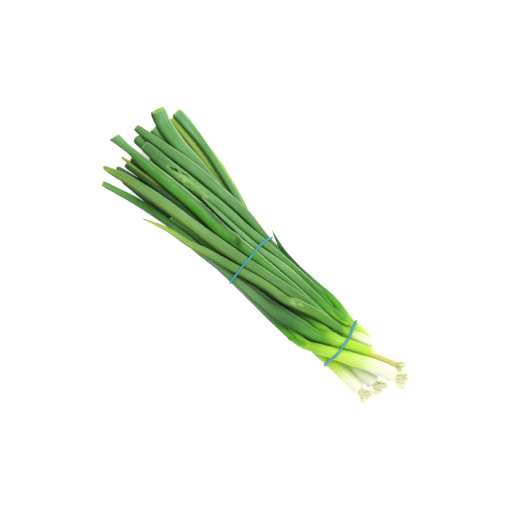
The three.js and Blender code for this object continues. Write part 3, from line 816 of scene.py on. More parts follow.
@dataclass(frozen=True)
class ShankSkin:
    """Fleshy white leaf base, wet and translucent, with green showing through towards the neck.

    Light goes some way in, so the shading is soft, and the skin is smooth with fine lines along it.
    """

    white: str = "#EFF1DE"
    cream: str = "#ECF4C2"
    lime: str = "#C4EA42"
    neck: str = "#A6DE36"
    green: str = "#5FB018"
    blade: str = "#4F9440"
    dry: str = "#D6C632"
    half_round_mm: float = 16.0  # half the circumference of a shank
    line_pitch_mm: float = 1.1  # the real lines are finer, and are drawn so that they show
    relief_mm: float = 0.12

    def material(self) -> bpy.types.Material:
        """Builds the skin of the shanks.

        Returns:
            The material.
        """
        s = Surface("fleshy_shank_skin")
        lines = s.noise(s.along_grain(self.half_round_mm / self.line_pitch_mm, 9), 1.0, 2.0, 0.6)
        streaks = s.noise(s.along_grain(4.5, 14), 1.0, 3.0, 0.55)
        green = s.sum("ADD.", s.value("youth"), s.sum("MULTIPLY", s.sum("SUBTRACT", streaks, 0.5), 0.3))
        colour = s.mix(s.ramp(green, 0.0, 0.22), self.white, self.cream)
        colour = s.mix(s.ramp(green, 0.15, 0.5), colour, self.lime)
        colour = s.mix(s.ramp(green, 0.45, 0.8), colour, self.neck)
        colour = s.mix(s.ramp(green, 0.75, 1.0), colour, self.green)
        colour = s.mix(s.value("blade"), colour, self.blade)
        torn = s.sum("MULTIPLY.", s.value("dry"), s.ramp(streaks, 0.35, 0.6, 0.4, 1.0))
        colour = s.mix(torn, colour, self.dry)
        shade = s.ramp(lines, 0.25, 0.75, 0.88, 1.05)
        rough = s.ramp(streaks, 0.3, 0.7, 0.3, 0.42)
        fixed = {
            "IOR": 1.4,
            "Subsurface Weight": 0.5,
            "Subsurface Radius": (0.004, 0.004, 0.002),
            "Subsurface Scale": 0.6,
            "Coat Weight": 0.1,
            "Coat Roughness": 0.25,
        }
        return s.finish(s.scaled(colour, shade), rough, lines, self.relief_mm, fixed)


@dataclass(frozen=True)
class RootFibre:
    """Trimmed roots, still fresh: pale fibres that are tan where they leave the base and where they dry."""

    pale: str = "#FFFFEA"
    green: str = "#CFE070"
    tan: str = "#DCC05C"
    grain_per_metre: float = 2200.0
    relief_mm: float = 0.08

    def material(self) -> bpy.types.Material:
        """Builds the look of the roots.

        Returns:
            The material.
        """
        s = Surface("fresh_root_fibre")
        place = s.add("ShaderNodeTexCoord").outputs["Object"]
        grain = s.noise(place, self.grain_per_metre, 2.0)
        colour = s.mix(s.ramp(s.value("tint"), 0.5, 1.0), self.pale, self.green)
        colour = s.mix(s.value("tan"), colour, self.tan)
        rough = s.ramp(grain, 0.3, 0.7, 0.55, 0.75)
        fixed = {"IOR": 1.4, "Subsurface Weight": 0.4, "Subsurface Radius": (0.003, 0.003, 0.002)}
        return s.finish(colour, rough, grain, self.relief_mm, fixed)


@dataclass(frozen=True)
class BandRubber:
    """Dyed natural rubber, cut from a tube and stretched: satin, with a little dust in the pores and a
    painted highlight along its middle.
    """

    blue: str = "#187F92"
    # colour of the dust, and of the painted highlight along the band's middle
    pale: str = "#48ADBF"
    dust_per_metre: float = 320.0
    pores_per_metre: float = 3200.0
    relief_mm: float = 0.05

    def material(self) -> bpy.types.Material:
        """Builds the rubber of the bands.

        Returns:
            The material.
        """
        s = Surface("stretched_natural_rubber")
        place = s.add("ShaderNodeTexCoord").outputs["Object"]
        dust = s.noise(place, self.dust_per_metre, 3.0)
        pores = s.noise(place, self.pores_per_metre, 2.0)
        colour = s.mix(s.ramp(dust, 0.35, 0.75, 0.0, 0.35), self.blue, self.pale)
        # painted highlight: paler along the middle of the band's broad faces
        middle = s.ramp(s.sum("ABSOLUTE", s.value("side")), 0.1, 0.6, 0.7, 0.0)
        colour = s.mix(middle, colour, self.pale)
        rough = s.ramp(dust, 0.3, 0.7, 0.38, 0.55)
        fixed = {"IOR": 1.52, "Specular IOR Level": 0.5}
        return s.finish(colour, rough, pores, self.relief_mm, fixed)


# Geometry


class Tree:
    """A geometry node tree with named inputs, run once on a mesh to make a plain one."""

    def __init__(self, name: str, inputs: dict[str, str]) -> None:
        """Starts the tree.

        Args:
            name: its name.
            inputs: the kind of socket for each named input after the geometry.
        """
        self.tree = bpy.data.node_groups.new(name, "GeometryNodeTree")
        face = self.tree.interface
        face.new_socket(name="Geometry", in_out="INPUT", socket_type="NodeSocketGeometry")
        for socket, kind in inputs.items():
            face.new_socket(name=socket, in_out="INPUT", socket_type="NodeSocket" + kind)
        face.new_socket(name="Geometry", in_out="OUTPUT", socket_type="NodeSocketGeometry")
        self.start = self.tree.nodes.new("NodeGroupInput").outputs

    def add(self, kind: str, inputs: dict | None = None, **settings: object) -> bpy.types.Node:
        """Adds a node to the tree."""
        return add_node(self.tree, kind, inputs, **settings)

    def sum(self, operation: str, *values: Socket | float) -> Socket:
        """Works with numbers."""
        return self.add("ShaderNodeMath", dict(enumerate(values)), operation=operation).outputs[0]

    def vector(self, operation: str, *values: Socket | tuple) -> Socket:
        """Works with vectors."""
        return self.add("ShaderNodeVectorMath", dict(enumerate(values)), operation=operation).outputs[0]

    def scaled(self, vector: Socket, scale: Socket | float) -> Socket:
        """A vector made longer or shorter."""
        return self.add("ShaderNodeVectorMath", {0: vector, "Scale": scale}, operation="SCALE").outputs[0]

    def point(self, x: Socket | float = 0.0, y: Socket | float = 0.0, z: Socket | float = 0.0) -> Socket:
        """A vector from its three parts."""
        return self.add("ShaderNodeCombineXYZ", {0: x, 1: y, 2: z}).outputs[0]

    def read(self, name: str, kind: str = "FLOAT") -> Socket:
        """The value that the geometry carries under that name."""
        return self.add("GeometryNodeInputNamedAttribute", {"Name": name}, data_type=kind).outputs[0]

    def keep(self, geometry: Socket, name: str, value: Socket, kind: str = "FLOAT") -> Socket:
        """Stores a value on the geometry's points under a name."""
        inputs = {"Geometry": geometry, "Name": name, "Value": value}
        return self.add("GeometryNodeStoreNamedAttribute", inputs, data_type=kind).outputs[0]

    def close(self, geometry: Socket, material: Socket) -> None:
        """Ends the tree with real geometry that has its material and smooth shading.

        Args:
            geometry: what the tree has made.
            material: the material that it gets.
        """
        smooth = self.add("GeometryNodeSetShadeSmooth", {0: geometry}).outputs[0]
        real = self.add("GeometryNodeRealizeInstances", {0: smooth}).outputs[0]
        dressed = self.add("GeometryNodeSetMaterial", {"Geometry": real, "Material": material}).outputs[0]
        self.add("NodeGroupOutput", {0: dressed})

    def run(self, name: str, mesh: bpy.types.Mesh, values: dict) -> Piece:
        """Runs the tree.

        Args:
            name: name of the piece.
            mesh: what goes in.
            values: a value for each named input.

        Returns:
            The piece, a plain mesh object at the origin without the modifier.
        """
        piece = bpy.data.objects.new(name, mesh)
        bpy.context.scene.collection.objects.link(piece)
        modifier = piece.modifiers.new("nodes", "NODES")
        modifier.node_group = self.tree
        for item in self.tree.interface.items_tree:
            if item.in_out == "INPUT" and item.name in values:
                modifier[item.identifier] = values[item.name]
        bpy.context.view_layer.update()
        evaluated = piece.evaluated_get(bpy.context.evaluated_depsgraph_get())
        plain = bpy.data.meshes.new_from_object(evaluated)
        piece.modifiers.remove(modifier)
        piece.data = plain
        plain.name = name
        return piece


class SleeveTree(Tree):
    """Sweeps a soft round section along a path whose points say how wide and how thick it is."""

    def __init__(self) -> None:
        """Builds the tree."""
        inputs = {
            "Sides": "Int",
            "Squareness": "Float",
            "Ripple": "Float",
            "Ripple Pitch": "Float",
            "Seed": "Float",
            "Material": "Material",
        }
        super().__init__("sleeve_along_path", inputs)
        start = self.start
        line = self.add("GeometryNodeMeshToCurve", {0: start["Geometry"]}).outputs[0]
        line = self.keep(line, "centre", self.add("GeometryNodeInputPosition").outputs[0], "FLOAT_VECTOR")
        ring = self.add("GeometryNodeCurvePrimitiveCircle", {"Resolution": start["Sides"], "Radius": 0.001})
        index = self.add("GeometryNodeInputIndex").outputs[0]
        turn = self.sum("DIVIDE", self.sum("MULTIPLY", index, 2 * math.pi), start["Sides"])
        ring = self.keep(ring.outputs[0], "turn", turn)
        inputs = {"Curve": line, "Profile Curve": ring, "Fill Caps": True}
        sleeve = self.add("GeometryNodeCurveToMesh", inputs).outputs[0]
        turn = self.read("turn")
        cosine, sine = self.sum("COSINE", turn), self.sum("SINE", turn)
        sleeve = self.keep(sleeve, "side", cosine)
        sleeve = self.keep(sleeve, "facing", sine)
        power = self.sum("SUBTRACT", 1.0, start["Squareness"])
        across = self.sum("MULTIPLY", self.rounded(cosine, power), self.read("half_width"))
        upward = self.sum("MULTIPLY", self.rounded(sine, power), self.read("half_thickness"))
        rise = self.vector("NORMALIZE", self.read("rise", "FLOAT_VECTOR"))
        side = self.vector("NORMALIZE", self.read("across", "FLOAT_VECTOR"))
        spoke = self.vector("ADD", self.scaled(side, across), self.scaled(rise, upward))
        centre = self.read("centre", "FLOAT_VECTOR")
        along = self.vector("ADD", centre, self.point(start["Seed"], start["Seed"]))
        lumps = self.add("ShaderNodeTexNoise", {
            "Vector": self.vector("ADD", along, self.scaled(spoke, 1.6)),
            "Scale": self.sum("DIVIDE", 1.0, start["Ripple Pitch"]),
            "Detail": 2.0,
        }).outputs["Fac"]
        swell = self.sum("MULTIPLY", self.sum("SUBTRACT", lumps, 0.5), start["Ripple"])
        swell = self.sum("MULTIPLY", swell, self.read("free"))
        place = self.vector("ADD", centre, spoke)
        place = self.vector("ADD", place, self.scaled(self.vector("NORMALIZE", spoke), swell))
        sleeve = self.add("GeometryNodeSetPosition", {0: sleeve, "Position": place}).outputs[0]
        self.close(sleeve, start["Material"])

    def rounded(self, value: Socket, power: Socket) -> Socket:
        """A sine or cosine raised to a power, with its sign kept."""
        size = self.sum("POWER", self.sum("ABSOLUTE", value), power)
        return self.sum("MULTIPLY", size, self.sum("SIGN", value))


class RootTree(Tree):
    """Grows a tuft of trimmed root threads along +X from a round base."""

    def __init__(self) -> None:
        """Builds the tree."""
        inputs = {
            "Count": "Int",
            "Length": "Float",
            "Base Radius": "Float",
            "Spread": "Float",
            "Curl": "Float",
            "Thickness": "Float",
            "Seed": "Int",
            "Material": "Material",
        }
        super().__init__("tuft_of_roots", inputs)
        start = self.start
        bundle = self.add("GeometryNodeInstanceOnPoints", {"Points": self.base(), "Instance": self.thread()})
        tuft = self.add("GeometryNodeRealizeInstances", {0: bundle.outputs[0]}).outputs[0]
        part = self.read("thread")
        out = self.sum("MULTIPLY", self.sum("MULTIPLY", part, self.read("reach")), start["Length"])
        opened = self.sum("MULTIPLY", self.sum("POWER", part, 1.3), start["Spread"])
        opened = self.sum("ADD", opened, start["Base Radius"])
        spoke = self.read("spoke", "FLOAT_VECTOR")
        place = self.vector("ADD", self.point(out), self.scaled(spoke, opened))
        own = self.point(self.sum("MULTIPLY", part, 2.6), 0.0, start["Seed"])
        noise = {"Vector": self.vector("ADD", self.scaled(spoke, 7.0), own), "Scale": 1.0, "Detail": 1.0}
        wander = self.add("ShaderNodeTexNoise", noise).outputs["Color"]
        wander = self.vector("SUBTRACT", wander, (0.5, 0.5, 0.5))
        wander = self.scaled(wander, self.sum("MULTIPLY", part, start["Curl"]))
        place = self.vector("ADD", place, wander)
        tuft = self.add("GeometryNodeSetPosition", {0: tuft, "Position": place}).outputs[0]
        ring = self.add("GeometryNodeCurvePrimitiveCircle", {"Resolution": THREAD_SIDES, "Radius": 0.5})
        thinner = self.sum("SUBTRACT", 1.0, self.sum("MULTIPLY", part, 0.45))
        inputs = {
            "Curve": tuft,
            "Profile Curve": ring.outputs[0],
            "Scale": self.sum("MULTIPLY", start["Thickness"], thinner),
            "Fill Caps": True,
        }
        self.close(self.add("GeometryNodeCurveToMesh", inputs).outputs[0], start["Material"])

    def base(self) -> Socket:
        """Spreads the points that the threads grow from.

        Returns:
            Points on a round base, each with its spoke, its share of the length and its tint.
        """
        start = self.start
        index = self.add("GeometryNodeInputIndex").outputs[0]
        share = self.sum("SQRT", self.sum("DIVIDE", self.sum("ADD", index, 0.5), start["Count"]))
        turn = self.sum("ADD", self.sum("MULTIPLY", index, GOLDEN_ANGLE), start["Seed"])
        y = self.sum("MULTIPLY", share, self.sum("COSINE", turn))
        z = self.sum("MULTIPLY", share, self.sum("SINE", turn))
        spoke = self.point(0.0, y, z)
        place = self.scaled(spoke, start["Base Radius"])
        inputs = {"Count": start["Count"], "Position": place, "Radius": 0.0001}
        base = self.add("GeometryNodePoints", inputs).outputs[0]
        base = self.keep(base, "spoke", spoke, "FLOAT_VECTOR")
        for name, least, seed in (("reach", 0.6, start["Seed"]), ("tint", 0.0, 5)):
            inputs = {2: least, 3: 1.0, "Seed": seed}
            drawn = self.add("FunctionNodeRandomValue", inputs, data_type="FLOAT").outputs[1]
            base = self.keep(base, name, drawn)
        return base

    def thread(self) -> Socket:
        """Makes the short line that stands for one thread until it is placed.

        Returns:
            A curve whose points say how far along the thread they are.
        """
        line = self.add("GeometryNodeCurvePrimitiveLine", {"End": (0, 0, 0.0001)}).outputs[0]
        line = self.add("GeometryNodeResampleCurve", {"Curve": line, "Count": THREAD_STEPS}).outputs[0]
        return self.keep(line, "thread", self.add("GeometryNodeSplineParameter").outputs["Factor"])


@dataclass
class Station:
    """One ring of a sleeve: where it is, and how wide and thick it is, in layout millimetres."""

    place: tuple[float, float, float]
    across: tuple[float, float, float]
    rise: tuple[float, float, float]
    half_width: float
    half_thickness: float
    along: float  # where its pattern is read
    free: float = 1.0  # share of the ripple that it shows
    inside: float = 0.0  # 1 on the inner wall behind a cut end


def station_mesh(name: str, stations: list[Station], closed: bool = False) -> bpy.types.Mesh:
    """Writes stations as the path that the sleeve tree sweeps along.

    Args:
        name: name of the mesh.
        stations: its points.
        closed: whether the last one joins the first.

    Returns:
        A mesh of edges with the stations' sizes as attributes, in metres.
    """
    places = in_part(np.array([s.place for s in stations]))
    count = len(stations)
    edges = [(i, i + 1) for i in range(count - 1)] + ([(count - 1, 0)] if closed else [])
    mesh = bpy.data.meshes.new(name)
    mesh.from_pydata(places.tolist(), edges, [])
    for key in ("half_width", "half_thickness", "along"):
        layer = mesh.attributes.new(key, "FLOAT", "POINT")
        layer.data.foreach_set("value", [getattr(s, key) / 1000 for s in stations])
    for key in ("free", "inside"):
        layer = mesh.attributes.new(key, "FLOAT", "POINT")
        layer.data.foreach_set("value", [getattr(s, key) for s in stations])
    for key in ("across", "rise"):
        layer = mesh.attributes.new(key, "FLOAT_VECTOR", "POINT")
        layer.data.foreach_set("vector", np.array([getattr(s, key) for s in stations], float).ravel())
    return mesh


class Strand:
    """The line of a stalk as the picture needs it, smoother than its knots."""

    def __init__(self, stalk: Stalk) -> None:
        """Takes the stalk's settled knots."""
        self.stalk = stalk
        self.heights: Rows = list(zip(stalk.x, stalk.z))

    def station(self, x: float, scale: float = 1.0, shift: float = 0.0, thinner: float = 0.0) -> Station:
        """A ring of the strand.

        Args:
            x: where on the strand its place, width and thickness are read.
            scale: a share of that width and thickness.
            shift: how far along x the ring is moved from there.
            thinner: how far it lies inside the strand's skin.

        Returns:
            The ring.
        """
        path, heights, step = self.stalk.path, self.heights, 1.0
        rise_y = (smooth_at(path, x + step, 1) - smooth_at(path, x - step, 1)) / (2 * step)
        if x + step > path[-1][0] or x - step < path[0][0]:
            rise_y *= 2
        rise_z = (smooth_at(heights, x + step, 1) - smooth_at(heights, x - step, 1)) / (2 * step)
        tangent = Vector((1, rise_y, rise_z)).normalized()
        across = Vector((0, 0, 1)).cross(tangent).normalized()
        rise = tangent.cross(across)
        width = smooth_at(path, x, 2)
        half = width / 2 * math.cos(math.atan(rise_y))
        thick = self.stalk.thickness(width) / 2
        return Station(
            (x + shift, smooth_at(path, x, 1) + shift * rise_y, smooth_at(heights, x, 1) + shift * rise_z),
            tuple(across),
            tuple(rise),
            max(half * scale - thinner, LEAST_HALF),
            max(thick * scale - thinner, LEAST_HALF),
            x + shift,
        )

    def rings(self, start: float, end: float) -> list[Station]:
        """Rings at an even distance from start to end."""
        count = max(2, round((end - start) / RING_STEP))
        return [self.station(start + (end - start) * i / count) for i in range(count + 1)]


class Bunch:
    """What the pieces of the bunch share: the settled stalks, the node trees and the materials."""

    def __init__(self) -> None:
        """Settles the stalks and makes the trees and materials."""
        self.heap = Heap()
        self.sleeve = SleeveTree()
        self.tuft = RootTree()
        self.leaf_skin = LeafCuticle().material()
        self.shank_skin = ShankSkin().material()
        self.root_fibre = RootFibre().material()
        self.rubber = BandRubber().material()

    def sweep(self, name: str, stations: list[Station], sides: int, material: bpy.types.Material,
              seed: float, ripple: float = 0.0, pitch: float = 20.0, squareness: float = 0.0,
              closed: bool = False) -> Piece:
        """Sweeps a section along stations.

        Args:
            name: name of the piece.
            stations: its rings.
            sides: points in a ring.
            material: its material.
            seed: sets its ripple apart from that of other pieces.
            ripple: height of the soft lumps on it, millimetres.
            pitch: how far apart they are, millimetres.
            squareness: 0 for a round section, towards 1 for a square one.
            closed: whether the last ring joins the first.

        Returns:
            The piece.
        """
        sizes = {
            "Sides": sides,
            "Squareness": squareness,
            "Ripple": ripple / 1000,
            "Ripple Pitch": pitch / 1000,
            "Seed": seed,
            "Material": material,
        }
        return self.sleeve.run(name, station_mesh(name, stations, closed), sizes)


def points_of(piece: Piece) -> np.ndarray:
    """Reads a piece's vertices.

    Args:
        piece: the piece.

    Returns:
        Rows of x, y and z.
    """
    flat = np.zeros(len(piece.data.vertices) * 3, np.float32)
    piece.data.vertices.foreach_get("co", flat)
    return flat.reshape(-1, 3).astype(float)


def move_points(piece: Piece, points: np.ndarray) -> None:
    """Puts a piece's vertices elsewhere, none of them under the table.

    Args:
        piece: the piece.
        points: rows of x, y and z.
    """
    points[:, 2] = np.maximum(points[:, 2], 0.0)
    piece.data.vertices.foreach_set("co", points.astype(np.float32).ravel())
    piece.data.update()


def read_values(piece: Piece, name: str) -> np.ndarray:
    """Reads a number that each vertex of a piece carries.

    Args:
        piece: the piece.
        name: the number's name.

    Returns:
        The numbers, in the order of the vertices.
    """
    values = np.zeros(len(piece.data.vertices), np.float32)
    piece.data.attributes[name].data.foreach_get("value", values)
    return values.astype(float)


def paint(piece: Piece, name: str, values: np.ndarray | float) -> None:
    """Gives each vertex of a piece a number for its material to read.

    Args:
        piece: the piece.
        name: the number's name.
        values: the numbers, or one for all.
    """
    layer = piece.data.attributes.new(name, "FLOAT", "POINT")
    filled = np.broadcast_to(np.asarray(values, np.float32), len(piece.data.vertices))
    layer.data.foreach_set("value", np.ascontiguousarray(filled))


def settle_piece(piece: Piece, node: str) -> None:
    """Hands a finished piece over to the frame.

    Args:
        piece: the piece, which loses the attributes that only shaped it.
        node: the node of the solids that it stands for.
    """
    for name in SHAPING:
        layer = piece.data.attributes.get(name)
        if layer is not None:
            piece.data.attributes.remove(layer)
    move_points(piece, points_of(piece))
    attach(piece, "root")
    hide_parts(node)
    LOG.info("%s: %d faces", piece.name, len(piece.data.polygons))


class Skin:
    """Where each vertex of a swept piece lies on its skin."""

    def __init__(self, piece: Piece) -> None:
        """Reads the places.

        Args:
            piece: the piece.
        """
        self.along = read_values(piece, "along") * 1000  # x in the layout
        self.side = read_values(piece, "side")  # across it, from -1 on the near side to 1 on the far side
        self.facing = read_values(piece, "facing")  # 1 on top and -1 underneath
        self.inside = read_values(piece, "inside")  # 1 on the inner wall

    @property
    def upper(self) -> np.ndarray:
        """Whether each vertex is on the upper half."""
        return self.facing > 0


@dataclass
class LeafBlade:
    """One leaf, from inside its neck to its tip or its cut end, which is hollow for a short way."""

    bunch: Bunch
    stalk: Stalk
    name: str
    hollow_taper: float = 0.12  # how much the wall thickens with each millimetre behind a cut end
    ripple: float = 0.5
    ripple_pitch: float = 14.0
    swollen: float = 0.8  # how much thicker than further out a leaf is where it leaves the neck
    pinched: float = 0.12  # how much narrower a cut end is
    # Rings past the last one: shifts in millimetres, and sizes or for a lip shares of the wall
    point: ClassVar[Rows] = [(0.8, 0.8), (1.5, 0.5), (1.9, 0.2)]
    dome: ClassVar[Rows] = [(0.9, 0.92), (1.6, 0.78), (2.2, 0.55), (2.6, 0.25)]
    lip: ClassVar[Rows] = [(0.2, 0.2), (0.25, 0.55), (0.05, 0.95)]
    hollow: ClassVar[tuple[float, ...]] = (1.0, 2.5, 4.5, 7.0, 11.0)  # depths of the rings of the inner wall

    def __post_init__(self) -> None:
        """Finds where the leaf starts and ends, and a number of its own that sets its pattern apart."""
        self.leaf = self.stalk.leaf
        self.start, self.end = self.leaf.path[0][0], self.leaf.path[-1][0]
        self.seed = (self.stalk.order * 7.31 + self.end * 0.37) % 19

    def build(self) -> Piece:
        """Sweeps the leaf along its path and adds its dents and tears.

        Returns:
            The leaf.
        """
        leaf, start, end = self.leaf, self.start, self.end
        strand = Strand(self.stalk)
        stations = [strand.station(start, 0.6, -1.0), *strand.rings(start, end), *self.closing(strand)]
        for s in stations:
            s.free = float(smoothstep(start, start + 20, s.along)) * (1 - s.inside)
            s.half_thickness *= 1 - leaf.pressed * float(smoothstep(end - 22, end, s.along))
            s.half_thickness *= 1 + self.swollen * float(1 - smoothstep(start + 2, start + 20, s.along))
            if leaf.end is End.CUT:
                s.half_width *= 1 - self.pinched * float(smoothstep(end - 3, end + 0.3, s.along))
        piece = self.bunch.sweep(self.name, stations, LEAF_SIDES, self.bunch.leaf_skin, self.seed,
                                 self.ripple, self.ripple_pitch)
        self.sculpt(piece)
        return piece

    def closing(self, strand: Strand) -> list[Station]:
        """Makes the rings past the last one.

        Args:
            strand: the leaf's line.

        Returns:
            A tip, or the lip of a cut end and the hollow behind it.
        """
        if self.leaf.end is End.POINT:
            return [strand.station(self.end, scale, shift) for shift, scale in self.point]
        if self.leaf.end is End.ROUND:
            return [strand.station(self.end, scale, shift) for shift, scale in self.dome]
        lip = [strand.station(self.end, 1, shift, share * WALL) for shift, share in self.lip]
        hole = [strand.station(self.end - d, 1, 0, WALL * (1 + self.hollow_taper * d)) for d in self.hollow]
        for s in lip[2:] + hole:
            s.inside = 1.0
        return lip + hole

    def sculpt(self, piece: Piece) -> None:
        """Moves the skin: slanted lips, dents and tears.

        Args:
            piece: the leaf.
        """
        leaf, skin, points = self.leaf, Skin(piece), points_of(piece)
        lift = leaf.set_back * skin.facing + leaf.slant * skin.side
        points[:, 0] -= smoothstep(self.end - 9, self.end, skin.along) * lift / 1000
        for dent in leaf.dents:
            # A crease across the tube, with the skin pushed up beside it and out at the near edge
            apart = np.abs(skin.along - dent.x + 1.5 * skin.side) / dent.length
            crease = np.exp(-(apart**2)) - 0.4 * np.exp(-((apart - 1.9) ** 2))
            place = np.exp(-(((skin.side - dent.side) / dent.breadth) ** 2)) * np.maximum(skin.facing, 0)
            points[:, 2] -= crease * place * dent.strength / 1000
            beyond = np.exp(-(((skin.along - dent.x - 1.6 * dent.length) / (1.4 * dent.length)) ** 2))
            points[:, 1] -= beyond * np.maximum(-skin.side, 0) * 0.35 * dent.strength / 1000
        for tear in leaf.tears:
            near = self.slit(tear, skin) * skin.upper
            points[:, 2] -= near * (skin.inside < 0.5) * tear.strength / 1000
        move_points(piece, points)

    @staticmethod
    def slit(tear: Mark, skin: Skin) -> np.ndarray:
        """How near each point is to a tear, 1 in its middle: it runs a little aslant and ends in points."""
        off = skin.side - tear.side - 0.035 * (skin.along - tear.x) + 0.05 * np.sin(skin.along * 2.1)
        return np.exp(-(((skin.along - tear.x) / tear.length) ** 2) - (off / tear.breadth) ** 2)

    def dress(self, piece: Piece) -> None:
        """Paints what the leaf's material reads.

        Args:
            piece: the leaf.
        """
        skin = Skin(piece)
        neck = self.stalk.onion.neck
        young = np.clip((1 - smoothstep(neck + 12, neck + 44, skin.along)) * self.leaf.look.youth, 0, 1)
        paint(piece, "seed", self.seed)
        paint(piece, "youth", young)
        self.dress_green(piece, skin)
        self.dress_wax(piece, skin, young)
        self.dress_painted_shade(piece, skin)
        self.dress_wounds(piece, skin)

    def dress_green(self, piece: Piece, skin: Skin) -> None:
        """Paints where the green is old, dull, fresh, lime or yellow, and the deeper green of painted shade
        in dents.

        Args:
            piece: the leaf.
            skin: its places.
        """
        leaf, look, neck, along = self.leaf, self.leaf.look, self.stalk.onion.neck, skin.along
        paint(piece, "depth", look.depth * smoothstep(neck, neck + 60, along))
        dull = smoothstep(neck + 10, neck + 45, along) * (0.35 + 0.65 * smoothstep(-0.3, 0.4, skin.side))
        paint(piece, "olive", look.olive * dull)
        lime = 1 - smoothstep(-8, 12, along - neck - look.limed)
        paint(piece, "neck", np.clip(lime * (0.3 + 0.7 * look.youth), 0, 1))
        warm = np.interp(along, [w[0] for w in look.warmth], [w[1] for w in look.warmth])
        for mark in leaf.stripes:
            warm = np.maximum(warm, mark.strength * mark.near(along, skin.side))
        paint(piece, "warmth", warm)
        vivid = look.vivid * smoothstep(-0.8, 0.1, skin.side) * smoothstep(278, 235, along)
        # the deeper green in a dent's crease is painted shade
        for dent in leaf.dents:
            vivid = np.maximum(vivid, 0.25 * dent.strength * np.exp(-(((along - dent.x) / 5) ** 2)))
        paint(piece, "vivid", vivid * (1 - skin.inside))

    def dress_wax(self, piece: Piece, skin: Skin, young: np.ndarray) -> None:
        """Paints how much wax lies on the leaf, and the painted highlight along its near edge.

        Args:
            piece: the leaf.
            skin: its places.
            young: how fresh its green is, which has no wax yet.
        """
        look, neck, along = self.leaf.look, self.stalk.onion.neck, skin.along
        towards = skin.side * look.bloom_side + skin.facing * (1 - abs(look.bloom_side))
        film = smoothstep(0.0, 0.4, towards) * smoothstep(neck + 28, neck + 75, along)
        film *= 0.7 + 0.3 * smoothstep(neck + 70, neck + 150, along)
        film *= smoothstep(look.wax_to + 18, look.wax_to - 18, along)
        frost = look.frost * smoothstep(self.end - 35, self.end - 5, along) * np.maximum(skin.facing, 0)
        paint(piece, "bloom", (film * look.bloom + frost) * (1 - 0.85 * young) * (1 - skin.inside))
        # painted highlight: a pale line along the near edge, on the upper half
        rim = look.rim * smoothstep(-0.72, -0.9, skin.side)
        paint(piece, "rim", rim * skin.upper * (1 - skin.inside))

    def dress_painted_shade(self, piece: Piece, skin: Skin) -> None:
        """Paints shade into the colour: on the far edge, underneath, at the marked places and in the dents.

        Args:
            piece: the leaf.
            skin: its places.
        """
        # painted shade: darker on the far edge and underneath
        far = self.leaf.look.far_painted_shade * smoothstep(0.6, 0.95, skin.side)
        edge = 1 - far - 0.5 * smoothstep(0.0, -0.3, skin.facing)
        # painted shade at the marked places
        for mark in self.leaf.painted_shades:
            edge *= 1 - mark.strength * mark.near(skin.along, skin.side)
        # painted shade in the crease of each dent
        for dent in self.leaf.dents:
            near = np.exp(-(((skin.along - dent.x + 1.5 * skin.side) / (1.5 * dent.length)) ** 2))
            near *= np.exp(-(((skin.side - dent.side) / 0.7) ** 2)) * skin.upper
            edge *= 1 - 0.15 * dent.strength * near
        paint(piece, "edge", np.where(skin.inside > 0.5, 1.0, np.maximum(edge, 0.1)))

    def dress_wounds(self, piece: Piece, skin: Skin) -> None:
        """Paints scars, dry tips, the pale pith of a cut, and the painted shade inside a hollow or a tear.

        Args:
            piece: the leaf.
            skin: its places.
        """
        leaf, end, along = self.leaf, self.end, skin.along
        scar = np.zeros_like(along)
        # painted shade inside a cut end's hollow, away from its lip
        painted_hollow_shade = skin.inside * (1 - smoothstep(end - 3.5, end - 0.3, along))
        for mark in leaf.scars:
            near = mark.near(along, skin.side, sharpness=2)
            scar = np.maximum(scar, mark.strength * near * (skin.facing > -0.2))
        for tear in leaf.tears:
            frayed = self.slit(tear, skin)
            scar = np.maximum(scar, 0.9 * smoothstep(0.02, 0.3, frayed) * skin.upper)
            # painted shade in the middle of a tear
            painted_hollow_shade = np.maximum(painted_hollow_shade, smoothstep(0.35, 0.6, frayed) * skin.upper)
        paint(piece, "scar", scar)
        paint(piece, "dry", smoothstep(end - 4, end + 1, along) * 0.4 * (leaf.end is End.POINT))
        rim = smoothstep(end - 1.1, end - 0.1, along) * (leaf.end in (End.CUT, End.FLARE))
        paint(piece, "pith", np.clip(np.maximum(0.75 * rim, skin.inside), 0, 1))
        paint(piece, "hollow", painted_hollow_shade)


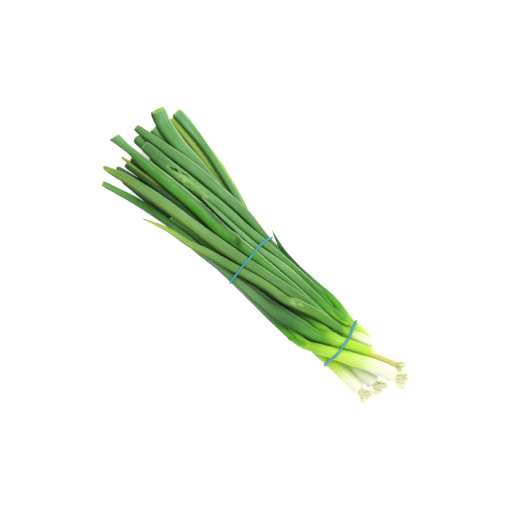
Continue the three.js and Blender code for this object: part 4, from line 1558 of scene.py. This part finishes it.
@dataclass
class Shank:
    """The white shank of an onion from its basal plate up, and the neck where it turns into leaves."""

    bunch: Bunch
    stalk: Stalk
    ripple: float = 0.5
    neck_length: float = 8.0  # before it tapers
    # Rings that round off the lower end: shares of the width for their shifts, and their sizes
    round_end: ClassVar[Rows] = [(-0.2, 0.5), (-0.19, 0.62), (-0.165, 0.74), (-0.12, 0.85), (-0.06, 0.95)]
    # Rings of the neck's taper among the leaves: shifts in millimetres, and sizes
    taper: ClassVar[Rows] = [(2, 0.93), (4, 0.85), (6.5, 0.74), (9, 0.61), (12, 0.46), (15, 0.3), (17, 0.15)]

    def build(self) -> Piece:
        """Sweeps the shank.

        Returns:
            The shank without its neck.
        """
        onion, strand = self.stalk.onion, Strand(self.stalk)
        start, _, width = onion.shank[0]
        stations = [strand.station(start, scale, shift * width) for shift, scale in self.round_end]
        stations += strand.rings(start, onion.neck)
        for s in stations:
            s.free = float(1 - smoothstep(onion.neck - 12, onion.neck, s.along))
        return self.bunch.sweep(onion.name + "_skin", stations, SHANK_SIDES, self.bunch.shank_skin,
                                onion.order, self.ripple)

    def build_neck(self) -> Piece:
        """Sweeps the neck on from the end of the shank.

        Returns:
            The neck, which is part of the leaves' node.
        """
        onion, strand = self.stalk.onion, Strand(self.stalk)
        end = onion.neck + self.neck_length
        stations = strand.rings(onion.neck, end)
        stations += [strand.station(end, scale, shift) for shift, scale in self.taper]
        name = onion.name + "_neck"
        return self.bunch.sweep(name, stations, SHANK_SIDES, self.bunch.shank_skin, onion.order)

    def dress(self, piece: Piece) -> None:
        """Paints how green and how dry the shank or its neck is, and the painted light on its near side.

        Args:
            piece: the one or the other.
        """
        onion, skin = self.stalk.onion, Skin(piece)
        full = onion.neck + onion.greening
        places = [onion.white_to - 8, onion.white_to + 8, onion.neck - 4, full]
        green = np.interp(skin.along, places, [0.0, 0.36, onion.limes, 1.15])
        # painted light: the near side by the roots is whiter
        light = smoothstep(0.8, 0.0, skin.side) * smoothstep(42, 27, skin.along)
        paint(piece, "seed", onion.order * 3.7)
        paint(piece, "youth", green * (1 - onion.near_side_painted_light * light))
        paint(piece, "blade", (1 - onion.young) * smoothstep(full - 5, full + 4, skin.along))
        line = np.exp(-(((skin.side - 0.1) / 0.3) ** 2))
        paint(piece, "dry", onion.dry_edge * line * smoothstep(44, 28, skin.along) * skin.upper)


@dataclass
class RootTuft:
    """Basal plate and trimmed roots of an onion, millimetres and shares of the tuft's width."""

    bunch: Bunch
    shank: Stalk
    plate_length: float = 0.2
    base_radius: float = 0.22
    spread: float = 0.46
    curl: float = 11.0
    thickness: float = 0.75  # real threads are finer, which the picture can't show
    heel: float = 0.2  # how far the shank's round end stands out, as a share of its width
    joint_gap: float = 0.3
    # Rings of the plate: shares of its length, and sizes
    cone: ClassVar[Rows] = [(1.0, 0.12), (0.9, 0.22), (0.6, 0.34), (0.25, 0.42), (0.0, 0.44)]
    cone_ripple: float = 0.9
    cone_pitch: float = 3.0

    def stance(self) -> Matrix:
        """Finds where the tuft starts and which way it points.

        Returns:
            The place and turn of its base, in layout millimetres.
        """
        x, width = self.shank.x[0], self.shank.w[0]
        slope = self.shank.between(x + 1, self.shank.y) - self.shank.y[0]
        outward = Vector((-1, -slope, 0)).normalized()
        across = Vector((-slope, 1, 0)).normalized()
        first = Strand(self.shank).station(x).place
        place = Vector((first[0] - self.heel * width - self.joint_gap, first[1], first[2]))
        turned = Matrix((outward, -across, outward.cross(-across))).transposed().to_4x4()
        return Matrix.Translation(place) @ turned

    def build(self) -> Piece:
        """Grows the threads.

        Returns:
            The tuft at the end of its shank.
        """
        roots = self.shank.onion.roots
        name = self.shank.onion.name + "_tuft"
        sizes = {
            "Count": int(12 + roots.width * 5),
            "Length": (roots.length + self.plate_length * roots.width) / 1000,
            "Base Radius": self.base_radius * roots.width / 1000,
            "Spread": self.spread * roots.width / 1000,
            "Curl": self.curl / 1000 * min(1.0, roots.width / 10),
            "Thickness": self.thickness / 1000,
            "Seed": int(roots.turn * 10),
            "Material": self.bunch.root_fibre,
        }
        piece = self.bunch.tuft.run(name, bpy.data.meshes.new(name), sizes)
        points = points_of(piece)
        paint(piece, "tan", roots.tan * (1 - smoothstep(0.0002, 0.0036, points[:, 0])))
        matrix = np.array(self.stance())
        move_points(piece, in_part((points * 1000) @ matrix[:3, :3].T + matrix[:3, 3]))
        return piece

    def build_plate(self) -> Piece:
        """Builds the basal plate, a short blunt cone.

        Returns:
            The plate.
        """
        onion, strand = self.shank.onion, Strand(self.shank)
        x, width = self.shank.x[0], self.shank.w[0]
        length = self.plate_length * onion.roots.width
        stations = [strand.station(x, scale, -self.heel * width - self.joint_gap - share * length)
                    for share, scale in self.cone]
        piece = self.bunch.sweep(onion.name + "_plate", stations, PLATE_SIDES, self.bunch.root_fibre,
                                 onion.order, self.cone_ripple, self.cone_pitch)
        paint(piece, "tan", onion.roots.tan)
        paint(piece, "tint", 0.4)
        return piece


@dataclass
class RubberBand:
    """A rubber band stretched round the stalks, sizes in millimetres."""

    bunch: Bunch
    name: str
    width: float
    thickness: float
    route: Rows  # rows of y across the bunch and x along it
    squareness: float = 0.35
    ripple: float = 0.12
    ripple_pitch: float = 6.0

    def outline(self) -> np.ndarray:
        """Stretches a line round the stalks.

        Returns:
            Rows of y and z at even distances on the taut closed line.
        """
        out = CLEARANCE + self.thickness / 2
        cloud = []
        for stalk in self.bunch.heap.stalks:
            x = smooth_at(self.route, stalk.between(self.route[0][1], stalk.y), 1)
            if not stalk.reaches(x) or (stalk.leaf is not None and stalk.leaf.side):
                continue
            middle = np.array([stalk.between(x, stalk.y), stalk.between(x, stalk.z)])
            half = np.array([stalk.between(x, stalk.w), stalk.between(x, stalk.t)]) / 2 + out
            turns = np.linspace(0, 2 * np.pi, HULL_STEPS, endpoint=False)
            cloud.append(middle + half * np.stack([np.cos(turns), np.sin(turns)], 1))
        hull = self.hull(np.concatenate(cloud))
        loop = np.vstack([hull, hull[:1]])
        steps = np.concatenate([[0], np.cumsum(np.linalg.norm(np.diff(loop, axis=0), axis=1))])
        even = np.linspace(0, steps[-1], BAND_STEPS, endpoint=False)
        return np.stack([np.interp(even, steps, loop[:, k]) for k in (0, 1)], 1)

    @staticmethod
    def hull(cloud: np.ndarray) -> np.ndarray:
        """Finds the convex outline of points.

        Args:
            cloud: rows of y and z.

        Returns:
            The rows on the outline, going round from +y to +z.
        """
        points = sorted(map(tuple, cloud))
        halves = []
        for order in (points, points[::-1]):
            chain: list[tuple[float, float]] = []
            for p in order:
                while len(chain) > 1:
                    (ax, ay), (bx, by) = chain[-2], chain[-1]
                    if (bx - ax) * (p[1] - ay) - (by - ay) * (p[0] - ax) > 0:
                        break
                    chain.pop()
                chain.append(p)
            halves += chain[:-1]
        return np.array(halves)

    def build(self) -> Piece:
        """Sweeps the band round its line.

        Returns:
            The band.
        """
        line = self.outline()
        soft = sum(np.roll(line, k, axis=0) for k in (-2, -1, 0, 1, 2)) / 5
        places = np.array([(smooth_at(self.route, y, 1), y, z) for y, z in soft])
        ahead, behind = np.roll(places, -1, axis=0), np.roll(places, 1, axis=0)
        half_sizes = (self.width / 2, self.thickness / 2)
        stations = []
        for place, after, before in zip(places, ahead, behind):
            along = Vector(after - before).normalized()
            outward = Vector((0, after[2] - before[2], before[1] - after[1])).normalized()
            broad = outward.cross(along).normalized()
            stations.append(Station(tuple(place), tuple(broad), tuple(outward), *half_sizes, 0.0))
        return self.bunch.sweep(self.name + "_rubber", stations, BAND_SIDES, self.bunch.rubber, 1.0,
                                self.ripple, self.ripple_pitch, self.squareness, closed=True)


@dataclass(frozen=True)
class Lamp:
    """A soft square lamp that faces the bunch, metres and watts."""

    name: str
    place: tuple[float, float, float]
    size: float
    power: float

    def build(self) -> None:
        """Hangs the lamp up."""
        data = bpy.data.lights.new(self.name, "AREA")
        data.shape = "SQUARE"
        data.size = self.size
        data.energy = self.power
        lamp = bpy.data.objects.new(self.name, data)
        lamp.location = self.place
        lamp.rotation_euler = (-Vector(self.place)).to_track_quat("-Z", "Y").to_euler()
        bpy.context.scene.collection.objects.link(lamp)


@dataclass(frozen=True)
class Studio:
    """White table with a painted glow, soft light and the camera straight above."""

    # The bunch lies aslant in the picture: 510 pixels wide, 0.8 mm each
    picture_pixels: float = 510.0
    pixel_mm: float = 0.8
    known_pixel: tuple[float, float] = (340.5, 343.0)
    known_place: tuple[float, float] = (58.0, 0.0)  # what lies at that pixel, in the layout
    aslant: float = 44.0  # degrees between the stalks and the picture's rows
    focal_mm: float = 400.0
    sensor_mm: float = 36.0
    focus_height: float = 0.012  # metres, where a pixel has its size
    far_clip: float = 50.0
    table_size: float = 6.0
    table_white: str = "#FBFBFA"
    lamps: tuple[Lamp, ...] = (
        Lamp("key", (0.15, -0.75, 1.4), 1.1, 15.2),
        Lamp("fill", (-0.9, 0.6, 1.3), 1.2, 7.5),
    )
    sky: float = 0.5
    bright: float = 0.6  # painted glow of the table beside the bunch, which washes out its shadow
    # painted glow of the table in the strip under the bunch
    dim: float = 0.03
    dim_edge: float = 0.003  # half the width of the change from one to the other
    # The strip of dim painted glow under the bunch: rows of x and of how far it reaches to +y, away from the
    # key light, and to -y
    shaded_margin: ClassVar[Rows] = [(-0.128, -0.03), (-0.116, 0.012), (-0.05, 0.022), (0.02, 0.022),
                                     (0.06, 0.027), (0.1, 0.028), (0.115, 0.012), (0.124, -0.008),
                                     (0.14, -0.04)]
    lit_margin: ClassVar[Rows] = [(-0.128, -0.03), (-0.116, 0.012), (-0.05, 0.018), (0.01, 0.019),
                                  (0.06, 0.03), (0.1, 0.037), (0.132, 0.033), (0.14, -0.04)]

    def camera(self) -> None:
        """Places the camera."""
        angle = math.radians(self.aslant)
        # Directions of the layout's x and y in the picture, right and down
        ex = Vector((-math.cos(angle), -math.sin(angle)))
        ey = Vector((-math.sin(angle), math.cos(angle)))
        middle = Vector((self.picture_pixels / 2, self.picture_pixels / 2))
        off = (middle - Vector(self.known_pixel)) * self.pixel_mm
        x = self.known_place[0] + off.dot(ex)
        y = self.known_place[1] + off.dot(ey)
        place = in_part(np.array([x, y, 0.0]))
        right = Vector((ex.x, ey.x, 0))
        up = Vector((-ex.y, -ey.y, 0))
        data = bpy.data.cameras.new("camera")
        data.sensor_width = self.sensor_mm
        data.lens = self.focal_mm
        data.clip_end = self.far_clip
        distance = self.picture_pixels * self.pixel_mm / 1000 * self.focal_mm / self.sensor_mm
        camera = bpy.data.objects.new("camera", data)
        turn = Matrix((right, up, right.cross(up))).transposed().to_4x4()
        camera.matrix_world = Matrix.Translation((place[0], place[1], distance + self.focus_height)) @ turn
        bpy.context.scene.collection.objects.link(camera)
        bpy.context.scene.camera = camera

    def table(self) -> Piece:
        """Builds the pale table top.

        Returns:
            The table.
        """
        half = self.table_size / 2
        corners = [(-half, -half, 0), (half, -half, 0), (half, half, 0), (-half, half, 0)]
        mesh = bpy.data.meshes.new("table")
        mesh.from_pydata(corners, [], [(0, 1, 2, 3)])
        table = bpy.data.objects.new("table", mesh)
        s = Surface("white_table_painted_glow")
        shader = s.add("ShaderNodeBsdfPrincipled", {
            "Base Color": linear(self.table_white),
            "Roughness": 0.9,
            "Specular IOR Level": 0.0,
            # painted glow: the table shines beside the bunch though it is no lamp
            "Emission Color": linear("#FFFFFF"),
            "Emission Strength": self.glow(s),
        })
        s.add("ShaderNodeOutputMaterial", {"Surface": shader.outputs[0]})
        mesh.materials.append(s.material)
        bpy.context.scene.collection.objects.link(table)
        return table

    def glow(self, s: Surface) -> Socket:
        """Paints a glow into the table, which is no lamp, to wash out the bunch's shadow beside it.

        Args:
            s: the table's material.

        Returns:
            The strength of the painted glow: full beside the bunch, dim in a strip under it.
        """
        place = s.add("ShaderNodeTexCoord").outputs["Object"]
        parts = s.add("ShaderNodeSeparateXYZ", {0: place}).outputs
        under = 1.0
        for way, rows in ((1, self.shaded_margin), (-1, self.lit_margin)):
            margin = s.curve(parts[0], rows)
            past = s.sum("SUBTRACT", s.sum("MULTIPLY", parts[1], way), margin)
            under = s.sum("MULTIPLY", under, s.ramp(past, -self.dim_edge, self.dim_edge, 1.0, 0.0))
        return s.ramp(under, 0.0, 1.0, self.bright, self.dim)

    def build(self) -> None:
        """Sets the studio up."""
        self.camera()
        self.table()
        for lamp in self.lamps:
            lamp.build()
        world = bpy.data.worlds.new("studio")
        world.use_nodes = True
        sky = world.node_tree.nodes["Background"]
        sky.inputs[0].default_value = linear("#FFFFFF")
        sky.inputs[1].default_value = self.sky
        bpy.context.scene.world = world
        bpy.context.scene.view_settings.view_transform = "Standard"


def build_onion(bunch: Bunch, stalk: Stalk) -> None:
    """Builds one onion: shank, neck, leaves and roots.

    Args:
        bunch: what all pieces share.
        stalk: the onion's shank.
    """
    name = stalk.onion.name
    shank = Shank(bunch, stalk)
    for piece, slot, node in ((shank.build(), "shank", "_shank"), (shank.build_neck(), "leaf", "_leaves")):
        shank.dress(piece)
        settle_piece(piece, name + node)
    for number, growth in enumerate(bunch.heap.leaves[name], 1):
        blade = LeafBlade(bunch, growth, f"{name}_leaf_{number}")
        leaf = blade.build()
        blade.dress(leaf)
        settle_piece(leaf, name + "_leaves")
    roots = RootTuft(bunch, stalk)
    for piece in (roots.build(), roots.build_plate()):
        settle_piece(piece, name + "_roots")


def main() -> None:
    """Builds the bunch and the studio."""
    logging.basicConfig(level=logging.INFO, format="%(message)s")
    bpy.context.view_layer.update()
    bunch = Bunch()
    for shank in bunch.heap.shanks:
        build_onion(bunch, shank)
    lower_route = [(-21, 61), (-14, 58.5), (-9, 56.5), (0, 55), (8, 54), (21, 54.5)]
    upper_route = [(-23, 156), (-15, 158.3), (-8, 158.3), (0, 157.5), (10, 157), (18, 156), (27, 155)]
    lower = RubberBand(bunch, "band_lower", 1.9, 1.3, lower_route)
    upper = RubberBand(bunch, "band_upper", 1.6, 1.2, upper_route)
    for band in (lower, upper):
        settle_piece(band.build(), band.name)
    Studio().build()


if __name__ == "__main__":
    main()
